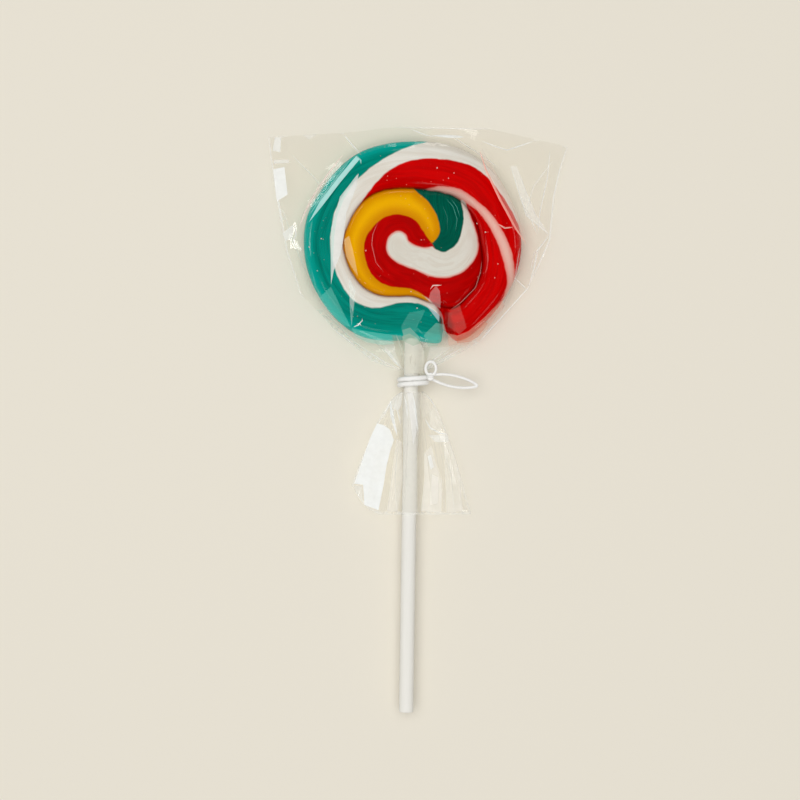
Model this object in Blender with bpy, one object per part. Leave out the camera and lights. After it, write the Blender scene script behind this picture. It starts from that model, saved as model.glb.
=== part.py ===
"""Swirl lollipop in its tied clear bag, lying on its back with the shown face up.

The candy is a rope of hard sugar wound once round a comma-shaped inner coil and cooled on a flat
slab, so its back is flat. A rolled paper stick is set into its edge. A clear bag is drawn together
under the candy, bound to the stick with two turns of white cord, and flares below as a pleated skirt.

The origin is on the flat back under the middle of the candy. +X is to the right of the shown face,
+Y is its top, and +Z points out of it. Sizes are in millimetres and turn into metres at the end.
"""

import math

import bmesh
import bpy
from mathutils import Matrix, Vector

MM = 0.001
TAU = 2 * math.pi

# Candy: radii from its centre at equal clock steps, counted from +X towards +Y
OUTLINE_RADII = (
    34.0, 33.4, 33.2, 33.6, 33.1, 32.3, 31.7, 32.0, 32.7, 32.8, 32.9, 33.9,
    34.0, 33.9, 33.7, 33.7, 33.4, 31.7, 30.4, 32.2, 34.2, 33.6, 33.6, 33.9,
)
GROOVE_RADII = (
    21.2, 20.8, 20.3, 19.6, 18.0, 16.9, 16.8, 17.3, 18.5, 19.6, 20.2, 20.7,
    21.5, 21.3, 21.1, 20.6, 19.2, 17.4, 16.9, 19.7, 24.0, 23.9, 23.6, 22.5,
)
RING_TOP = 10.4        # height of the outer ring's crest above the flat back
RING_SWELL = 0.25      # how much that crest rises and falls twice on its way round
RING_SWELL_START = 0.8  # where it does, in radians
COIL_TOP = 9.5         # height of the inner coil at the middle
COIL_FALL = 0.055      # slope of the inner coil, down towards the upper right
COIL_FALL_ANGLE = math.radians(28)
RIM_HEIGHT = 4.9       # where the candy is widest
BACK_EDGE = 4.6        # width of the rounded edge round the flat back
CREST_SHARE = 0.46     # place of the crest across the ring, from groove to outline
ROUNDNESS = 2.3        # superellipse power of the rope's section
GROOVE_SHALLOW = 1.8   # depth of the groove at the left, below the ring's crest
GROOVE_DEEP = 4.6      # and at the right
GROOVE_DEEP_ANGLE = math.radians(15)
BACK_GROOVE = 0.8      # the same groove as it shows on the flat back
BACK_GROOVE_HALF_WIDTH = 1.3
COIL_EDGE_NARROW = 5.0  # width of the coil's rounded edge at the left
COIL_EDGE_WIDE = 10.0   # and at the right, where the groove is deep
COIL_ROWS = (0.35, 0.7)  # rows of corners across the flat of the coil, as shares of its width
CANDY_COLUMNS = 84     # columns of corners round the candy, besides those at the notch

# Notch, where the two ends of the ring meet under the coil
NOTCH_INNER_ANGLE = math.radians(-65.5)
NOTCH_OUTER_ANGLE = math.radians(-70.2)
NOTCH_REACH = math.radians(24)   # how far round the columns lean with the notch
NOTCH_HALF_WIDTH = 1.5
NOTCH_FLOOR = 3.2
NOTCH_STEP = 1.0       # the ring's own height over that floor, in the notch
NOTCH_DIP = 4.4        # how far it cuts into the outline
NOTCH_IN_GROOVE = 0.6  # share of the way down that the groove goes where it meets the notch
NOTCH_IN_EDGE = 0.6    # share of the back's rounded edge that the notch takes away
NOTCH_CLOSE = math.radians(12)  # columns stand closer together this near the notch

# Stick
STICK_RADIUS = 2.25
STICK_LENGTH = 150.0
STICK_TOP = 3.7        # its upper end, above the candy's centre
STICK_TOP_X = 0.23
STICK_LEAN = math.radians(-0.85)
STICK_HEIGHT = 5.2     # its axis above the candy's flat back
STICK_SIDES = 32
STICK_END_ROUND = 0.25
GAP = 0.3              # clearance between neighbouring pieces
CANDY_BORE_END = 60.0  # the bore for the stick runs out of the candy's lower edge
BAG_BORE = (20.0, 110.0)  # and right through the neck and the skirt, measured down the stick

# Clear bag: corners of its outline, round the candy from the upper right
BAG_CORNERS = (
    (46.3, 22.8), (48.5, 30.0), (22.6, 35.9), (-3.9, 36.3), (-21.1, 34.3), (-45.1, 33.1), (-44.5, 27.1),
    (-43.2, 18.1), (-39.5, -2.8), (-35.1, -15.9), (-29.9, -20.8), (-23.4, -28.1), (-12.6, -36.8),
    (-4.2, -40.0), (4.2, -39.9), (8.6, -37.6), (20.7, -31.2), (36.3, -14.0), (43.2, 0.6), (44.5, 14.4),
)
BAG_EDGE = 0.45        # half the thickness of the sealed edge
BAG_SHOULDER = 4.1     # half the thickness where the film leaves the candy
BAG_FALL = 1.25
BAG_PUCKER = 0.3
BAG_PUCKERS = 9
BAG_CLEARANCE = 0.45   # between the bag's hole and the candy's widest line
BAG_ROWS = (0.0, 0.2, 0.42, 0.68, 1.0)  # rows of corners, as shares of the way out to the edge
NECK_HALF_WIDTH = 3.5
NECK_HALF_DEPTH = 3.1
NECK_ANGLE = math.radians(-90)
NECK_SPREAD = math.radians(13)

# Skirt of the bag, below the cord
NECK_TOP_Y = -33.5
NECK_GATHERS_Y = -37.0
NECK_TOP_SHARES = (0.8, 0.9)  # its size at those two heights, against its size under the cord
NECK_Y = -40.2
SKIRT_Y = -46.2
SKIRT_LENGTH = 38.6
SKIRT_HALF_WIDTH = 18.6
SKIRT_MIDDLE_X = -0.3
SKIRT_HALF_DEPTH = 4.5
SKIRT_FLARE = 0.65
SKIRT_PLEATS = 13
SKIRT_PLEAT_DEPTH = 0.26
SKIRT_CORNER_LIFT = 9.0  # the hem rises towards its left corner
SKIRT_ROWS = (0.0, 0.04, 0.1, 0.2, 0.34, 0.5, 0.68, 0.85, 1.0)  # shares of the way down to the hem

# White cord tied round the neck
CORD_RADIUS = 0.85
CORD_PITCH = 1.9
CORD_TURNS = 2.0
CORD_Y = -43.2
THIN_CORD = 0.5        # radius of the cord where it is drawn out into loops
KNOT_RADIUS = 1.4
KNOT_RISE = 3.4        # the knot sits on the front of the neck
KNOT_OUT = 0.9         # to the right of the winding's own side
KNOT_ABOVE = 1.4       # above the winding's middle
BOW_LENGTH = 15.0
BOW_HALF_HEIGHT = 1.8
BOW_LEAN = math.radians(-11)
BOW_BELOW = 1.3        # its middle lies lower on the face than the knot
BOW_OVERLAP = 0.4      # how far it starts inside the knot
BOW_DROP = 1.5         # its far end hangs nearer the floor than the knot
LOOP_HALF_WIDTH = 1.6
LOOP_HALF_HEIGHT = 2.1
LOOP_OUT = 0.1
LOOP_ABOVE = 0.5       # the loop's lower end clears the knot's middle by this
LOOP_LIFT = 0.3


# Colours as the shader takes them, and how rough each finish is
SUGAR_RED = (0.52, 0.005, 0.006)
PAPER_WHITE = (0.80, 0.79, 0.76)
FILM_CREAM = (0.83, 0.81, 0.74)
CORD_WHITE = (0.86, 0.86, 0.84)
SUGAR_ROUGHNESS = 0.12
PAPER_ROUGHNESS = 0.6
FILM_ROUGHNESS = 0.08
FILM_SEE_THROUGH = 0.7
CORD_ROUGHNESS = 0.5
SHARP_ANGLE = math.radians(50)


def clock_radius(radii, angle):
    """A smooth closed curve's radius at an angle, from its radii at equal clock steps."""
    place = (angle % TAU) / TAU * len(radii)
    step = int(place)
    f = place - step
    a, b, c, d = (radii[(step + k) % len(radii)] for k in (-1, 0, 1, 2))
    return b + 0.5 * f * (c - a + f * (2 * a - 5 * b + 4 * c - d + f * (3 * (b - c) + d - a)))


def wrapped(angle):
    return (angle + math.pi) % TAU - math.pi


def mesh_object(name, corners, faces, colour, roughness, see_through=0.0):
    """One named object with its own material, from corners in millimetres."""
    mesh = bpy.data.meshes.new(name)
    mesh.from_pydata([Vector(c) * MM for c in corners], [], faces)
    obj = bpy.data.objects.new(name, mesh)
    bpy.context.scene.collection.objects.link(obj)
    edit = bmesh.new()
    edit.from_mesh(mesh)
    bmesh.ops.recalc_face_normals(edit, faces=edit.faces)
    edit.to_mesh(mesh)
    edit.free()
    finish(obj, colour, roughness, see_through)
    return obj


def finish(obj, colour, roughness, see_through=0.0):
    material = bpy.data.materials.new(obj.name)
    material.use_nodes = True
    shader = material.node_tree.nodes["Principled BSDF"]
    shader.inputs["Base Color"].default_value = (*colour, 1)
    shader.inputs["Roughness"].default_value = roughness
    shader.inputs["Metallic"].default_value = 0.0
    shader.inputs["Alpha"].default_value = 1.0 - see_through
    obj.data.materials.clear()
    obj.data.materials.append(material)
    obj.data.shade_smooth()
    obj.data.set_sharp_from_angle(angle=SHARP_ANGLE)


def ring_faces(columns, rows, closed_rows=False):
    """Quads between neighbouring columns of corners, numbered column by column."""
    faces = []
    for c in range(columns):
        near, far = c * rows, (c + 1) % columns * rows
        for r in range(rows if closed_rows else rows - 1):
            s = (r + 1) % rows
            faces.append((near + r, far + r, far + s, near + s))
    return faces


def as_cutter(obj):
    obj.hide_render = True
    obj.display_type = "WIRE"


def boolean(obj, other, operation):
    modifier = obj.modifiers.new(other.name, "BOOLEAN")
    modifier.operation = operation
    modifier.solver = "EXACT"
    modifier.object = other
    as_cutter(other)


# Candy

def notch_lean(angle, share):
    """The notch runs straight down, so the columns near it turn a little towards the outline."""
    middle = (NOTCH_INNER_ANGLE + NOTCH_OUTER_ANGLE) / 2
    near = math.exp(-((wrapped(angle - middle) / NOTCH_REACH) ** 2))
    return angle + (NOTCH_OUTER_ANGLE - NOTCH_INNER_ANGLE) * (share - 0.5) * near


def candy_angles():
    """Column angles: even, and closer together on each side of the notch."""
    middle = (NOTCH_INNER_ANGLE + NOTCH_OUTER_ANGLE) / 2
    fine = [middle + NOTCH_CLOSE * (k / 8) * abs(k / 8) ** 0.4 for k in range(-8, 9)]
    span = TAU - 2 * NOTCH_CLOSE
    even = [middle + NOTCH_CLOSE + span * k / CANDY_COLUMNS for k in range(1, CANDY_COLUMNS)]
    return fine + even


def rope_arc(steps):
    """Shares (across, up) along a quarter of the rope's section, from its side to its top."""
    power = 2 / ROUNDNESS
    turns = [k / steps * math.pi / 2 for k in range(steps + 1)]
    return [(1 - max(math.cos(t), 0.0) ** power, max(math.sin(t), 0.0) ** power) for t in turns]


def candy_column(angle):
    """Corners from beside the middle of the front, over groove, crest and rim, to the back."""
    groove = clock_radius(GROOVE_RADII, angle)
    outline = clock_radius(OUTLINE_RADII, angle)
    middle = (NOTCH_INNER_ANGLE + NOTCH_OUTER_ANGLE) / 2
    beside = wrapped(angle - middle) * outline
    notch = math.exp(-((beside / NOTCH_HALF_WIDTH) ** 2))
    outline -= NOTCH_DIP * notch
    crest = groove + CREST_SHARE * (outline - groove)
    deep = 0.5 + 0.5 * math.cos(angle - GROOVE_DEEP_ANGLE)
    ring_top = RING_TOP + RING_SWELL * math.sin(2 * angle + RING_SWELL_START)
    floor = RING_TOP - GROOVE_SHALLOW - (GROOVE_DEEP - GROOVE_SHALLOW) * deep
    floor += (NOTCH_FLOOR - floor) * NOTCH_IN_GROOVE * notch
    ring_top += (NOTCH_FLOOR + NOTCH_STEP - ring_top) * notch
    edge = COIL_EDGE_NARROW + (COIL_EDGE_WIDE - COIL_EDGE_NARROW) * deep

    def coil_height(radius):
        return COIL_TOP - COIL_FALL * radius * math.cos(angle - COIL_FALL_ANGLE)

    points = [(share * (groove - edge), coil_height(share * (groove - edge))) for share in COIL_ROWS]
    for across, up in reversed(rope_arc(5)):
        radius = groove - edge * across
        points.append((radius, floor + (coil_height(radius) - floor) * up))
    for across, up in rope_arc(4)[1:]:
        points.append((groove + (crest - groove) * across, floor + (ring_top - floor) * up))
    for across, up in reversed(rope_arc(6)[:-1]):
        points.append((outline - (outline - crest) * across, RIM_HEIGHT + (ring_top - RIM_HEIGHT) * up))
    back_edge = BACK_EDGE * (1 - NOTCH_IN_EDGE * notch)
    back_seam = BACK_GROOVE * notch
    for across, up in rope_arc(4)[1:]:
        points.append((outline - back_edge * across, RIM_HEIGHT - (RIM_HEIGHT - back_seam) * up))
    points.append((groove + BACK_GROOVE_HALF_WIDTH, back_seam))
    points.append((groove, BACK_GROOVE))
    points.append((groove - BACK_GROOVE_HALF_WIDTH, 0.0))
    points.append((0.5 * groove, 0.0))
    corners = []
    for radius, height in points:
        share = min(max((radius - groove) / (outline - groove), 0.0), 1.0)
        turned = notch_lean(angle, share)
        corners.append((radius * math.cos(turned), radius * math.sin(turned), height))
    return corners


def make_candy():
    columns = [candy_column(angle) for angle in candy_angles()]
    rows = len(columns[0])
    corners = [corner for column in columns for corner in column]
    faces = ring_faces(len(columns), rows)
    front, back = len(corners), len(corners) + 1
    corners += [(0, 0, COIL_TOP), (0, 0, 0)]
    for c in range(len(columns)):
        far = (c + 1) % len(columns)
        faces.append((front, far * rows, c * rows))
        faces.append((back, (c + 1) * rows - 1, (far + 1) * rows - 1))
    return mesh_object("candy", corners, faces, SUGAR_RED, SUGAR_ROUGHNESS)


# Stick

def stick_rod(name, radius, top, bottom):
    """A rod on the stick's axis between two distances down from the stick's upper end."""
    edit = bmesh.new()
    bmesh.ops.create_cone(
        edit, cap_ends=True, segments=STICK_SIDES, radius1=radius * MM, radius2=radius * MM,
        depth=(bottom - top) * MM, matrix=Matrix.Translation((0, 0, (bottom + top) / 2 * MM)),
    )
    mesh = bpy.data.meshes.new(name)
    edit.to_mesh(mesh)
    edit.free()
    obj = bpy.data.objects.new(name, mesh)
    bpy.context.scene.collection.objects.link(obj)
    obj.location = Vector((STICK_TOP_X, STICK_TOP, STICK_HEIGHT)) * MM
    obj.rotation_euler = (math.pi / 2, 0, STICK_LEAN)
    finish(obj, PAPER_WHITE, PAPER_ROUGHNESS)
    return obj


def make_stick():
    stick = stick_rod("stick", STICK_RADIUS, 0, STICK_LENGTH)
    rounding = stick.modifiers.new("rounded ends", "BEVEL")
    rounding.width = STICK_END_ROUND * MM
    rounding.segments = 2
    rounding.limit_method = "ANGLE"
    rounding.angle_limit = math.radians(60)
    return stick


# Clear bag

def bag_radius(angle):
    """Distance from the candy's centre to the bag's outline at an angle."""
    direction = Vector((math.cos(angle), math.sin(angle)))
    best = 0.0
    for k, (x, y) in enumerate(BAG_CORNERS):
        start = Vector((x, y))
        side = Vector(BAG_CORNERS[(k + 1) % len(BAG_CORNERS)]) - start
        slant = direction.x * side.y - direction.y * side.x
        if abs(slant) < 1e-9:
            continue
        reach = (start.x * side.y - start.y * side.x) / slant
        share = (start.x * direction.y - start.y * direction.x) / slant
        if reach > 0 and -1e-6 <= share <= 1 + 1e-6:
            best = max(best, reach)
    return best


def bag_column(angle):
    """A closed section of the bag: out over its front, round the seal, and back under."""
    inner = clock_radius(OUTLINE_RADII, angle) + BAG_CLEARANCE
    outer = bag_radius(angle)
    at_neck = math.exp(-((wrapped(angle - NECK_ANGLE) / NECK_SPREAD) ** 2))
    edge = BAG_EDGE + (NECK_HALF_DEPTH - BAG_EDGE) * at_neck
    front, back = [], []
    for share in BAG_ROWS:
        radius = inner + (outer - inner) * share
        half = edge + (BAG_SHOULDER - edge) * (1 - share) ** BAG_FALL
        pucker = BAG_PUCKER * math.sin(BAG_PUCKERS * angle) * share * (1 - share) * 4
        middle = RIM_HEIGHT + (STICK_HEIGHT - RIM_HEIGHT) * share
        x, y = radius * math.cos(angle), radius * math.sin(angle)
        front.append((x, y, middle + half + pucker))
        back.append((x, y, middle - half + 0.5 * pucker))
    return front + back[::-1]


def make_bag():
    corner_angles = [math.atan2(y, x) % TAU for x, y in BAG_CORNERS]
    even = [TAU * k / 72 for k in range(72)]
    spare = [a for a in even if min(abs(wrapped(a - b)) for b in corner_angles) > math.radians(1.2)]
    columns = [bag_column(angle) for angle in sorted(spare + corner_angles)]
    corners = [corner for column in columns for corner in column]
    faces = ring_faces(len(columns), len(columns[0]), closed_rows=True)
    return mesh_object("wrapper", corners, faces, FILM_CREAM, FILM_ROUGHNESS, FILM_SEE_THROUGH)


def skirt_section(turn, fall):
    """A point of the gathered film: turn goes round the stick, fall runs from the cord to the hem."""
    side = math.cos(turn)
    flare = fall ** SKIRT_FLARE
    half_width = NECK_HALF_WIDTH + (SKIRT_HALF_WIDTH - NECK_HALF_WIDTH) * flare
    half_depth = NECK_HALF_DEPTH + (SKIRT_HALF_DEPTH - NECK_HALF_DEPTH) * fall
    pleat = 1 - SKIRT_PLEAT_DEPTH * flare * (0.5 + 0.5 * math.cos(SKIRT_PLEATS * turn))
    lift = SKIRT_CORNER_LIFT * max(-side - 0.5, 0.0) ** 2 * 4 * fall
    x = SKIRT_MIDDLE_X * fall + half_width * side
    y = SKIRT_Y - SKIRT_LENGTH * fall + lift
    return x, y, STICK_HEIGHT + half_depth * pleat * math.sin(turn)


def make_skirt():
    """The neck and the skirt in one loft, closed at both ends."""
    columns = 4 * SKIRT_PLEATS
    neck = list(zip((NECK_TOP_Y, NECK_GATHERS_Y), NECK_TOP_SHARES))
    neck += [(NECK_Y, 1.0), ((NECK_Y + SKIRT_Y) / 2, 1.0)]
    corners = []
    for k in range(columns):
        turn = TAU * k / columns
        for y, scale in neck:
            x, _, z = skirt_section(turn, 0.0)
            corners.append((x * scale, y, STICK_HEIGHT + (z - STICK_HEIGHT) * scale))
        corners += [skirt_section(turn, fall) for fall in SKIRT_ROWS]
    rows = len(neck) + len(SKIRT_ROWS)
    faces = ring_faces(columns, rows)
    top, hem = len(corners), len(corners) + 1
    corners.append((0, NECK_TOP_Y, STICK_HEIGHT))
    corners.append((SKIRT_MIDDLE_X, SKIRT_Y - SKIRT_LENGTH, STICK_HEIGHT))
    for k in range(columns):
        far = (k + 1) % columns
        faces.append((top, far * rows, k * rows))
        faces.append((hem, (k + 1) * rows - 1, (far + 1) * rows - 1))
    return mesh_object("skirt loft", corners, faces, FILM_CREAM, FILM_ROUGHNESS)


# Cord

def tube(name, points, radius, closed, sides=8):
    """A round tube along points, each with a ring of sides turned with the path."""
    count = len(points)
    corners = []
    for k, point in enumerate(points):
        before = points[(k - 1) % count] if closed or k > 0 else point
        after = points[(k + 1) % count] if closed or k < count - 1 else point
        along = (after - before).normalized()
        across = along.cross(Vector((0.31, 0.13, 0.94))).normalized()
        up = along.cross(across)
        for s in range(sides):
            turn = TAU * s / sides
            corners.append(point + radius * (math.cos(turn) * across + math.sin(turn) * up))
    faces = []
    for k in range(count if closed else count - 1):
        near, far = k * sides, (k + 1) % count * sides
        for s in range(sides):
            t = (s + 1) % sides
            faces.append((near + s, near + t, far + t, far + s))
    if not closed:
        faces.append(tuple(range(sides))[::-1])
        faces.append(tuple(range((count - 1) * sides, count * sides)))
    return mesh_object(name, corners, faces, CORD_WHITE, CORD_ROUGHNESS)


def cord_turns():
    """The winding: a helix that clears the neck, ending at the knot on the right."""
    half_width = NECK_HALF_WIDTH + GAP + CORD_RADIUS
    half_depth = NECK_HALF_DEPTH + GAP + CORD_RADIUS
    steps = int(CORD_TURNS * 30)
    points = []
    for k in range(steps + 1):
        turned = TAU * CORD_TURNS * k / steps
        y = CORD_Y + CORD_PITCH * (CORD_TURNS / 2 - turned / TAU)
        x, z = half_width * math.cos(turned), STICK_HEIGHT + half_depth * math.sin(turned)
        points.append(Vector((x, y, z)))
    return points


def oval(centre, half_width, half_height, lean, lift, steps=26):
    """A closed loop of cord, flat to the face, leaning and lifting away from the knot."""
    points = []
    for k in range(steps):
        turn = TAU * k / steps
        flat = Matrix.Rotation(lean, 2) @ Vector((half_width * math.cos(turn), half_height * math.sin(turn)))
        points.append(centre + Vector((flat.x, flat.y, lift * 0.5 * (1 + math.cos(turn)))))
    return points


def make_cord():
    right = NECK_HALF_WIDTH + GAP + CORD_RADIUS
    knot_at = Vector((right + KNOT_OUT, CORD_Y + KNOT_ABOVE, STICK_HEIGHT + KNOT_RISE))
    cord = tube("tie", cord_turns(), CORD_RADIUS, closed=False)
    bow_centre = knot_at + Vector((BOW_LENGTH / 2 - BOW_OVERLAP, -BOW_BELOW, -BOW_DROP / 2))
    bow_path = oval(bow_centre, BOW_LENGTH / 2, BOW_HALF_HEIGHT, BOW_LEAN, -BOW_DROP)
    bow = tube("bow", bow_path, THIN_CORD, closed=True)
    loop_centre = knot_at + Vector((LOOP_OUT, LOOP_HALF_HEIGHT + LOOP_ABOVE, 0.0))
    loop_path = oval(loop_centre, LOOP_HALF_WIDTH, LOOP_HALF_HEIGHT, 0.0, LOOP_LIFT)
    loop = tube("loop", loop_path, THIN_CORD, closed=True)
    edit = bmesh.new()
    bmesh.ops.create_icosphere(edit, subdivisions=2, radius=KNOT_RADIUS * MM)
    mesh = bpy.data.meshes.new("knot")
    edit.to_mesh(mesh)
    edit.free()
    knot = bpy.data.objects.new("knot", mesh)
    bpy.context.scene.collection.objects.link(knot)
    knot.location = knot_at * MM
    for other in (knot, bow, loop):
        boolean(cord, other, "UNION")
    return cord


for old in list(bpy.data.objects):
    bpy.data.objects.remove(old)

candy = make_candy()
stick = make_stick()
wrapper = make_bag()
skirt = make_skirt()
tie = make_cord()

candy_bore = stick_rod("stick bore in candy", STICK_RADIUS + GAP, -GAP, CANDY_BORE_END)
boolean(candy, candy_bore, "DIFFERENCE")
boolean(wrapper, skirt, "UNION")
bag_bore = stick_rod("stick bore in bag", STICK_RADIUS + GAP, *BAG_BORE)
boolean(wrapper, bag_bore, "DIFFERENCE")
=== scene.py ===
"""Looks of the swirl lollipop, lying in its tied clear bag with the shown face up.

Lengths are in millimetres and turn into metres where a mesh is made. The middle of the candy's flat
back is at x = y = 0 on the floor, +Y is the top of the candy and +Z points out of the shown face.
"""

import math

import bmesh
import bpy
import numpy as np
from mathutils import Matrix, Vector, geometry, noise


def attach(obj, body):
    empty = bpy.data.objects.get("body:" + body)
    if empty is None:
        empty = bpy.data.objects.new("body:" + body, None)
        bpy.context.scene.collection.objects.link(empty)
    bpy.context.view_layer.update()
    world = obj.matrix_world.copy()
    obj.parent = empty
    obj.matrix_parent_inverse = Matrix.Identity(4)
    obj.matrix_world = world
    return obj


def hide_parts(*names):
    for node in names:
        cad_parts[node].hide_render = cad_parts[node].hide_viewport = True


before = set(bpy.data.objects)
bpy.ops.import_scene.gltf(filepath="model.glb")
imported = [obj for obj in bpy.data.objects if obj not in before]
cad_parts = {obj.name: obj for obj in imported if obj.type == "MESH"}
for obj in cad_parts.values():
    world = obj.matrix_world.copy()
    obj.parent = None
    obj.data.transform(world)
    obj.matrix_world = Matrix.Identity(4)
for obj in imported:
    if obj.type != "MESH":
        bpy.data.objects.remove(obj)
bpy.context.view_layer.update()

# The view, the board and the lamps.
# The lollipop lies on a pale cream board and is seen from straight above, with +Y up in the picture.
# One wide soft lamp overhead and a dim room light it. Seven softboxes round the board give no light
# and are seen only as reflections in the film and the sugar.

MM = 0.001
PICTURE_SIDE = 249.6      # the board's width that the square picture takes in
PICTURE_MIDDLE = (-3.9, -49.0)
STICK_HEIGHT = 5.2        # the stick's axis above the board, where the picture's scale was taken
LENS, SENSOR = 85.0, 36.0
BOARD_HALF_SIDE = 2000.0
BOARD_DROP = 0.12         # the film under the candy lies between it and the board
LAMP_COLOUR = (1.0, 0.99, 0.966)
ROOM_COLOUR, ROOM_STRENGTH = (1.0, 0.98, 0.94, 1.0), 0.33
SOFTBOX_DISTANCE = 0.85   # in metres, as the lamps' other lengths are
SOFTBOXES = (             # name, degrees from straight up and round from +X, width, height, watts
    ("left softbox", 72, 172, 0.30, 0.15, 1.8),
    ("upper left softbox", 55, 138, 0.25, 0.13, 0.75),
    ("head softbox", 58, 88, 0.25, 0.13, 0.55),
    ("right softbox", 72, 10, 0.28, 0.13, 0.8),
    ("lower right softbox", 55, -38, 0.22, 0.12, 0.34),
    ("foot softbox", 50, -104, 0.22, 0.12, 0.4),
    ("lower left softbox", 55, -150, 0.23, 0.12, 0.48),
)


def rgb(red, green, blue):
    """A colour as the eye reads it, 0 to 255, as the shader's linear colour."""
    return (*((c / 255) ** 2.2 for c in (red, green, blue)), 1.0)


def new_material(name):
    """An empty material and its node tree."""
    material = bpy.data.materials.new(name)
    material.use_nodes = True
    material.node_tree.nodes.clear()
    return material, material.node_tree


def node(tree, kind, sockets=None, **settings):
    """A new shader node. A socket takes a plain value, or is linked to a node or one of its outputs."""
    made = tree.nodes.new("ShaderNode" + kind)
    for name, value in settings.items():
        setattr(made, name, value)
    for name, value in (sockets or {}).items():
        if isinstance(value, bpy.types.Node):
            value = value.outputs[0]
        if isinstance(value, bpy.types.NodeSocket):
            tree.links.new(value, made.inputs[name])
        else:
            made.inputs[name].default_value = value
    return made


def add_object(name, corners, faces, sharp_degrees=180.0):
    """A mesh object from corners in mm, smooth apart from edges sharper than the angle."""
    mesh = bpy.data.meshes.new(name)
    mesh.from_pydata([tuple(c * MM for c in corner) for corner in corners], [], faces)
    mesh.shade_smooth()
    if sharp_degrees < 180.0:
        mesh.set_sharp_from_angle(angle=math.radians(sharp_degrees))
    made = bpy.data.objects.new(name, mesh)
    bpy.context.scene.collection.objects.link(made)
    return made


def cover(made, material, shader):
    """Give an object the material, with this shader as its surface."""
    node(material.node_tree, "OutputMaterial", {"Surface": shader})
    made.data.materials.append(material)


def lamp(name, from_top, round_about, distance, width, height, watts, mirrored=True):
    """A lamp aimed at the candy. A mirrored one shows only in reflections, any other only lights."""
    data = bpy.data.lights.new(name, "AREA")
    data.shape = "RECTANGLE"
    data.size = width
    data.size_y = height
    data.energy = watts
    data.color = LAMP_COLOUR
    made = bpy.data.objects.new(name, data)
    bpy.context.scene.collection.objects.link(made)
    tilt, turn = math.radians(from_top), math.radians(round_about)
    way = Vector((math.sin(tilt) * math.cos(turn), math.sin(tilt) * math.sin(turn), math.cos(tilt)))
    made.location = way * distance
    made.rotation_euler = way.to_track_quat("Z", "Y").to_euler()
    made.visible_glossy = mirrored
    made.visible_diffuse = not mirrored


camera_data = bpy.data.cameras.new("camera")
camera_data.lens = LENS
camera_data.sensor_width = SENSOR
camera = bpy.data.objects.new("camera", camera_data)
bpy.context.scene.collection.objects.link(camera)
camera_height = STICK_HEIGHT + PICTURE_SIDE * LENS / SENSOR
camera.location = Vector((*PICTURE_MIDDLE, camera_height)) * MM
bpy.context.scene.camera = camera

board_corners = [(-1, -1), (1, -1), (1, 1), (-1, 1)]
board_corners = [(x * BOARD_HALF_SIDE, y * BOARD_HALF_SIDE, -BOARD_DROP) for x, y in board_corners]
board = add_object("board", board_corners, [(0, 1, 2, 3)])
material, tree = new_material("cream board")
mottle = node(tree, "TexNoise", {"Scale": 9.0, "Detail": 2.0})
cream = node(tree, "MixRGB", {0: mottle.outputs["Fac"], 1: rgb(231, 226, 214), 2: rgb(234, 229, 217)})
card = node(tree, "BsdfPrincipled", {"Base Color": cream, "Roughness": 0.9, "Specular IOR Level": 0.1})
cover(board, material, card)

lamp("overhead lamp", 5, 200, 1.5, 1.6, 1.6, 19.7, mirrored=False)
for name, from_top, round_about, width, height, watts in SOFTBOXES:
    lamp(name, from_top, round_about, SOFTBOX_DISTANCE, width, height, watts)

world = bpy.data.worlds.new("dim room")
bpy.context.scene.world = world
world.use_nodes = True
room = world.node_tree.nodes["Background"].inputs
room["Color"].default_value = ROOM_COLOUR
room["Strength"].default_value = ROOM_STRENGTH
world.cycles_visibility.glossy = False
bpy.context.scene.view_settings.view_transform = "Standard"
bpy.context.scene.cycles.transparent_max_bounces = 24   # a ray may cross many pleats of film

# The candy.
# Boiled sugar pulled into strands of red, white, teal and yellow, rolled into one rope and wound by
# hand: an outer ring, notched at the bottom, round a comma-shaped inner coil. It cooled on a flat slab.

TAU = 2 * math.pi
# Distances of the outline and of the groove from the middle, at 24 equal steps round from +X
OUTLINE_RADII = (
    34.0, 33.4, 33.2, 33.6, 33.1, 32.3, 31.7, 32.0, 32.7, 32.8, 32.9, 33.9,
    34.0, 33.9, 33.7, 33.7, 33.4, 31.7, 30.4, 32.2, 34.2, 33.6, 33.6, 33.9,
)
GROOVE_RADII = (
    21.2, 20.8, 20.3, 19.6, 18.0, 16.9, 16.8, 17.3, 18.5, 19.6, 20.2, 20.7,
    21.5, 21.3, 21.1, 20.6, 19.2, 17.4, 16.9, 19.7, 24.0, 23.9, 23.6, 22.5,
)
RING_TOP = 10.4           # height of the outer ring's crest above the flat back
RING_SWELL, RING_SWELL_START = 0.25, 0.8   # it rises and falls this much, twice on its way round
COIL_TOP = 9.5            # height of the inner coil at the middle
COIL_FALL, COIL_FALL_ANGLE = 0.055, math.radians(28)   # its slope, down towards the upper right
RIM_HEIGHT = 4.9          # where the candy is widest
BACK_EDGE = 4.6           # width of the rounded edge round the flat back
CREST_SHARE = 0.46        # place of the crest across the ring, from groove to outline
ROUNDNESS = 2.3           # power of the rope's rounded section
GROOVE_SHALLOW, GROOVE_DEEP = 1.8, 4.6     # below the crest, at the left and at the right
GROOVE_DEEP_ANGLE = math.radians(15)
BACK_GROOVE, BACK_GROOVE_HALF_WIDTH = 0.8, 1.3         # the groove as it shows on the flat back
COIL_EDGE_NARROW, COIL_EDGE_WIDE = 5.0, 10.0           # width of the coil's rounded edge
NOTCH_INNER_ANGLE, NOTCH_OUTER_ANGLE = math.radians(-65.5), math.radians(-70.2)
NOTCH_ANGLE = (NOTCH_INNER_ANGLE + NOTCH_OUTER_ANGLE) / 2
NOTCH_REACH = math.radians(24)   # how far round the columns lean with the notch
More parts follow.
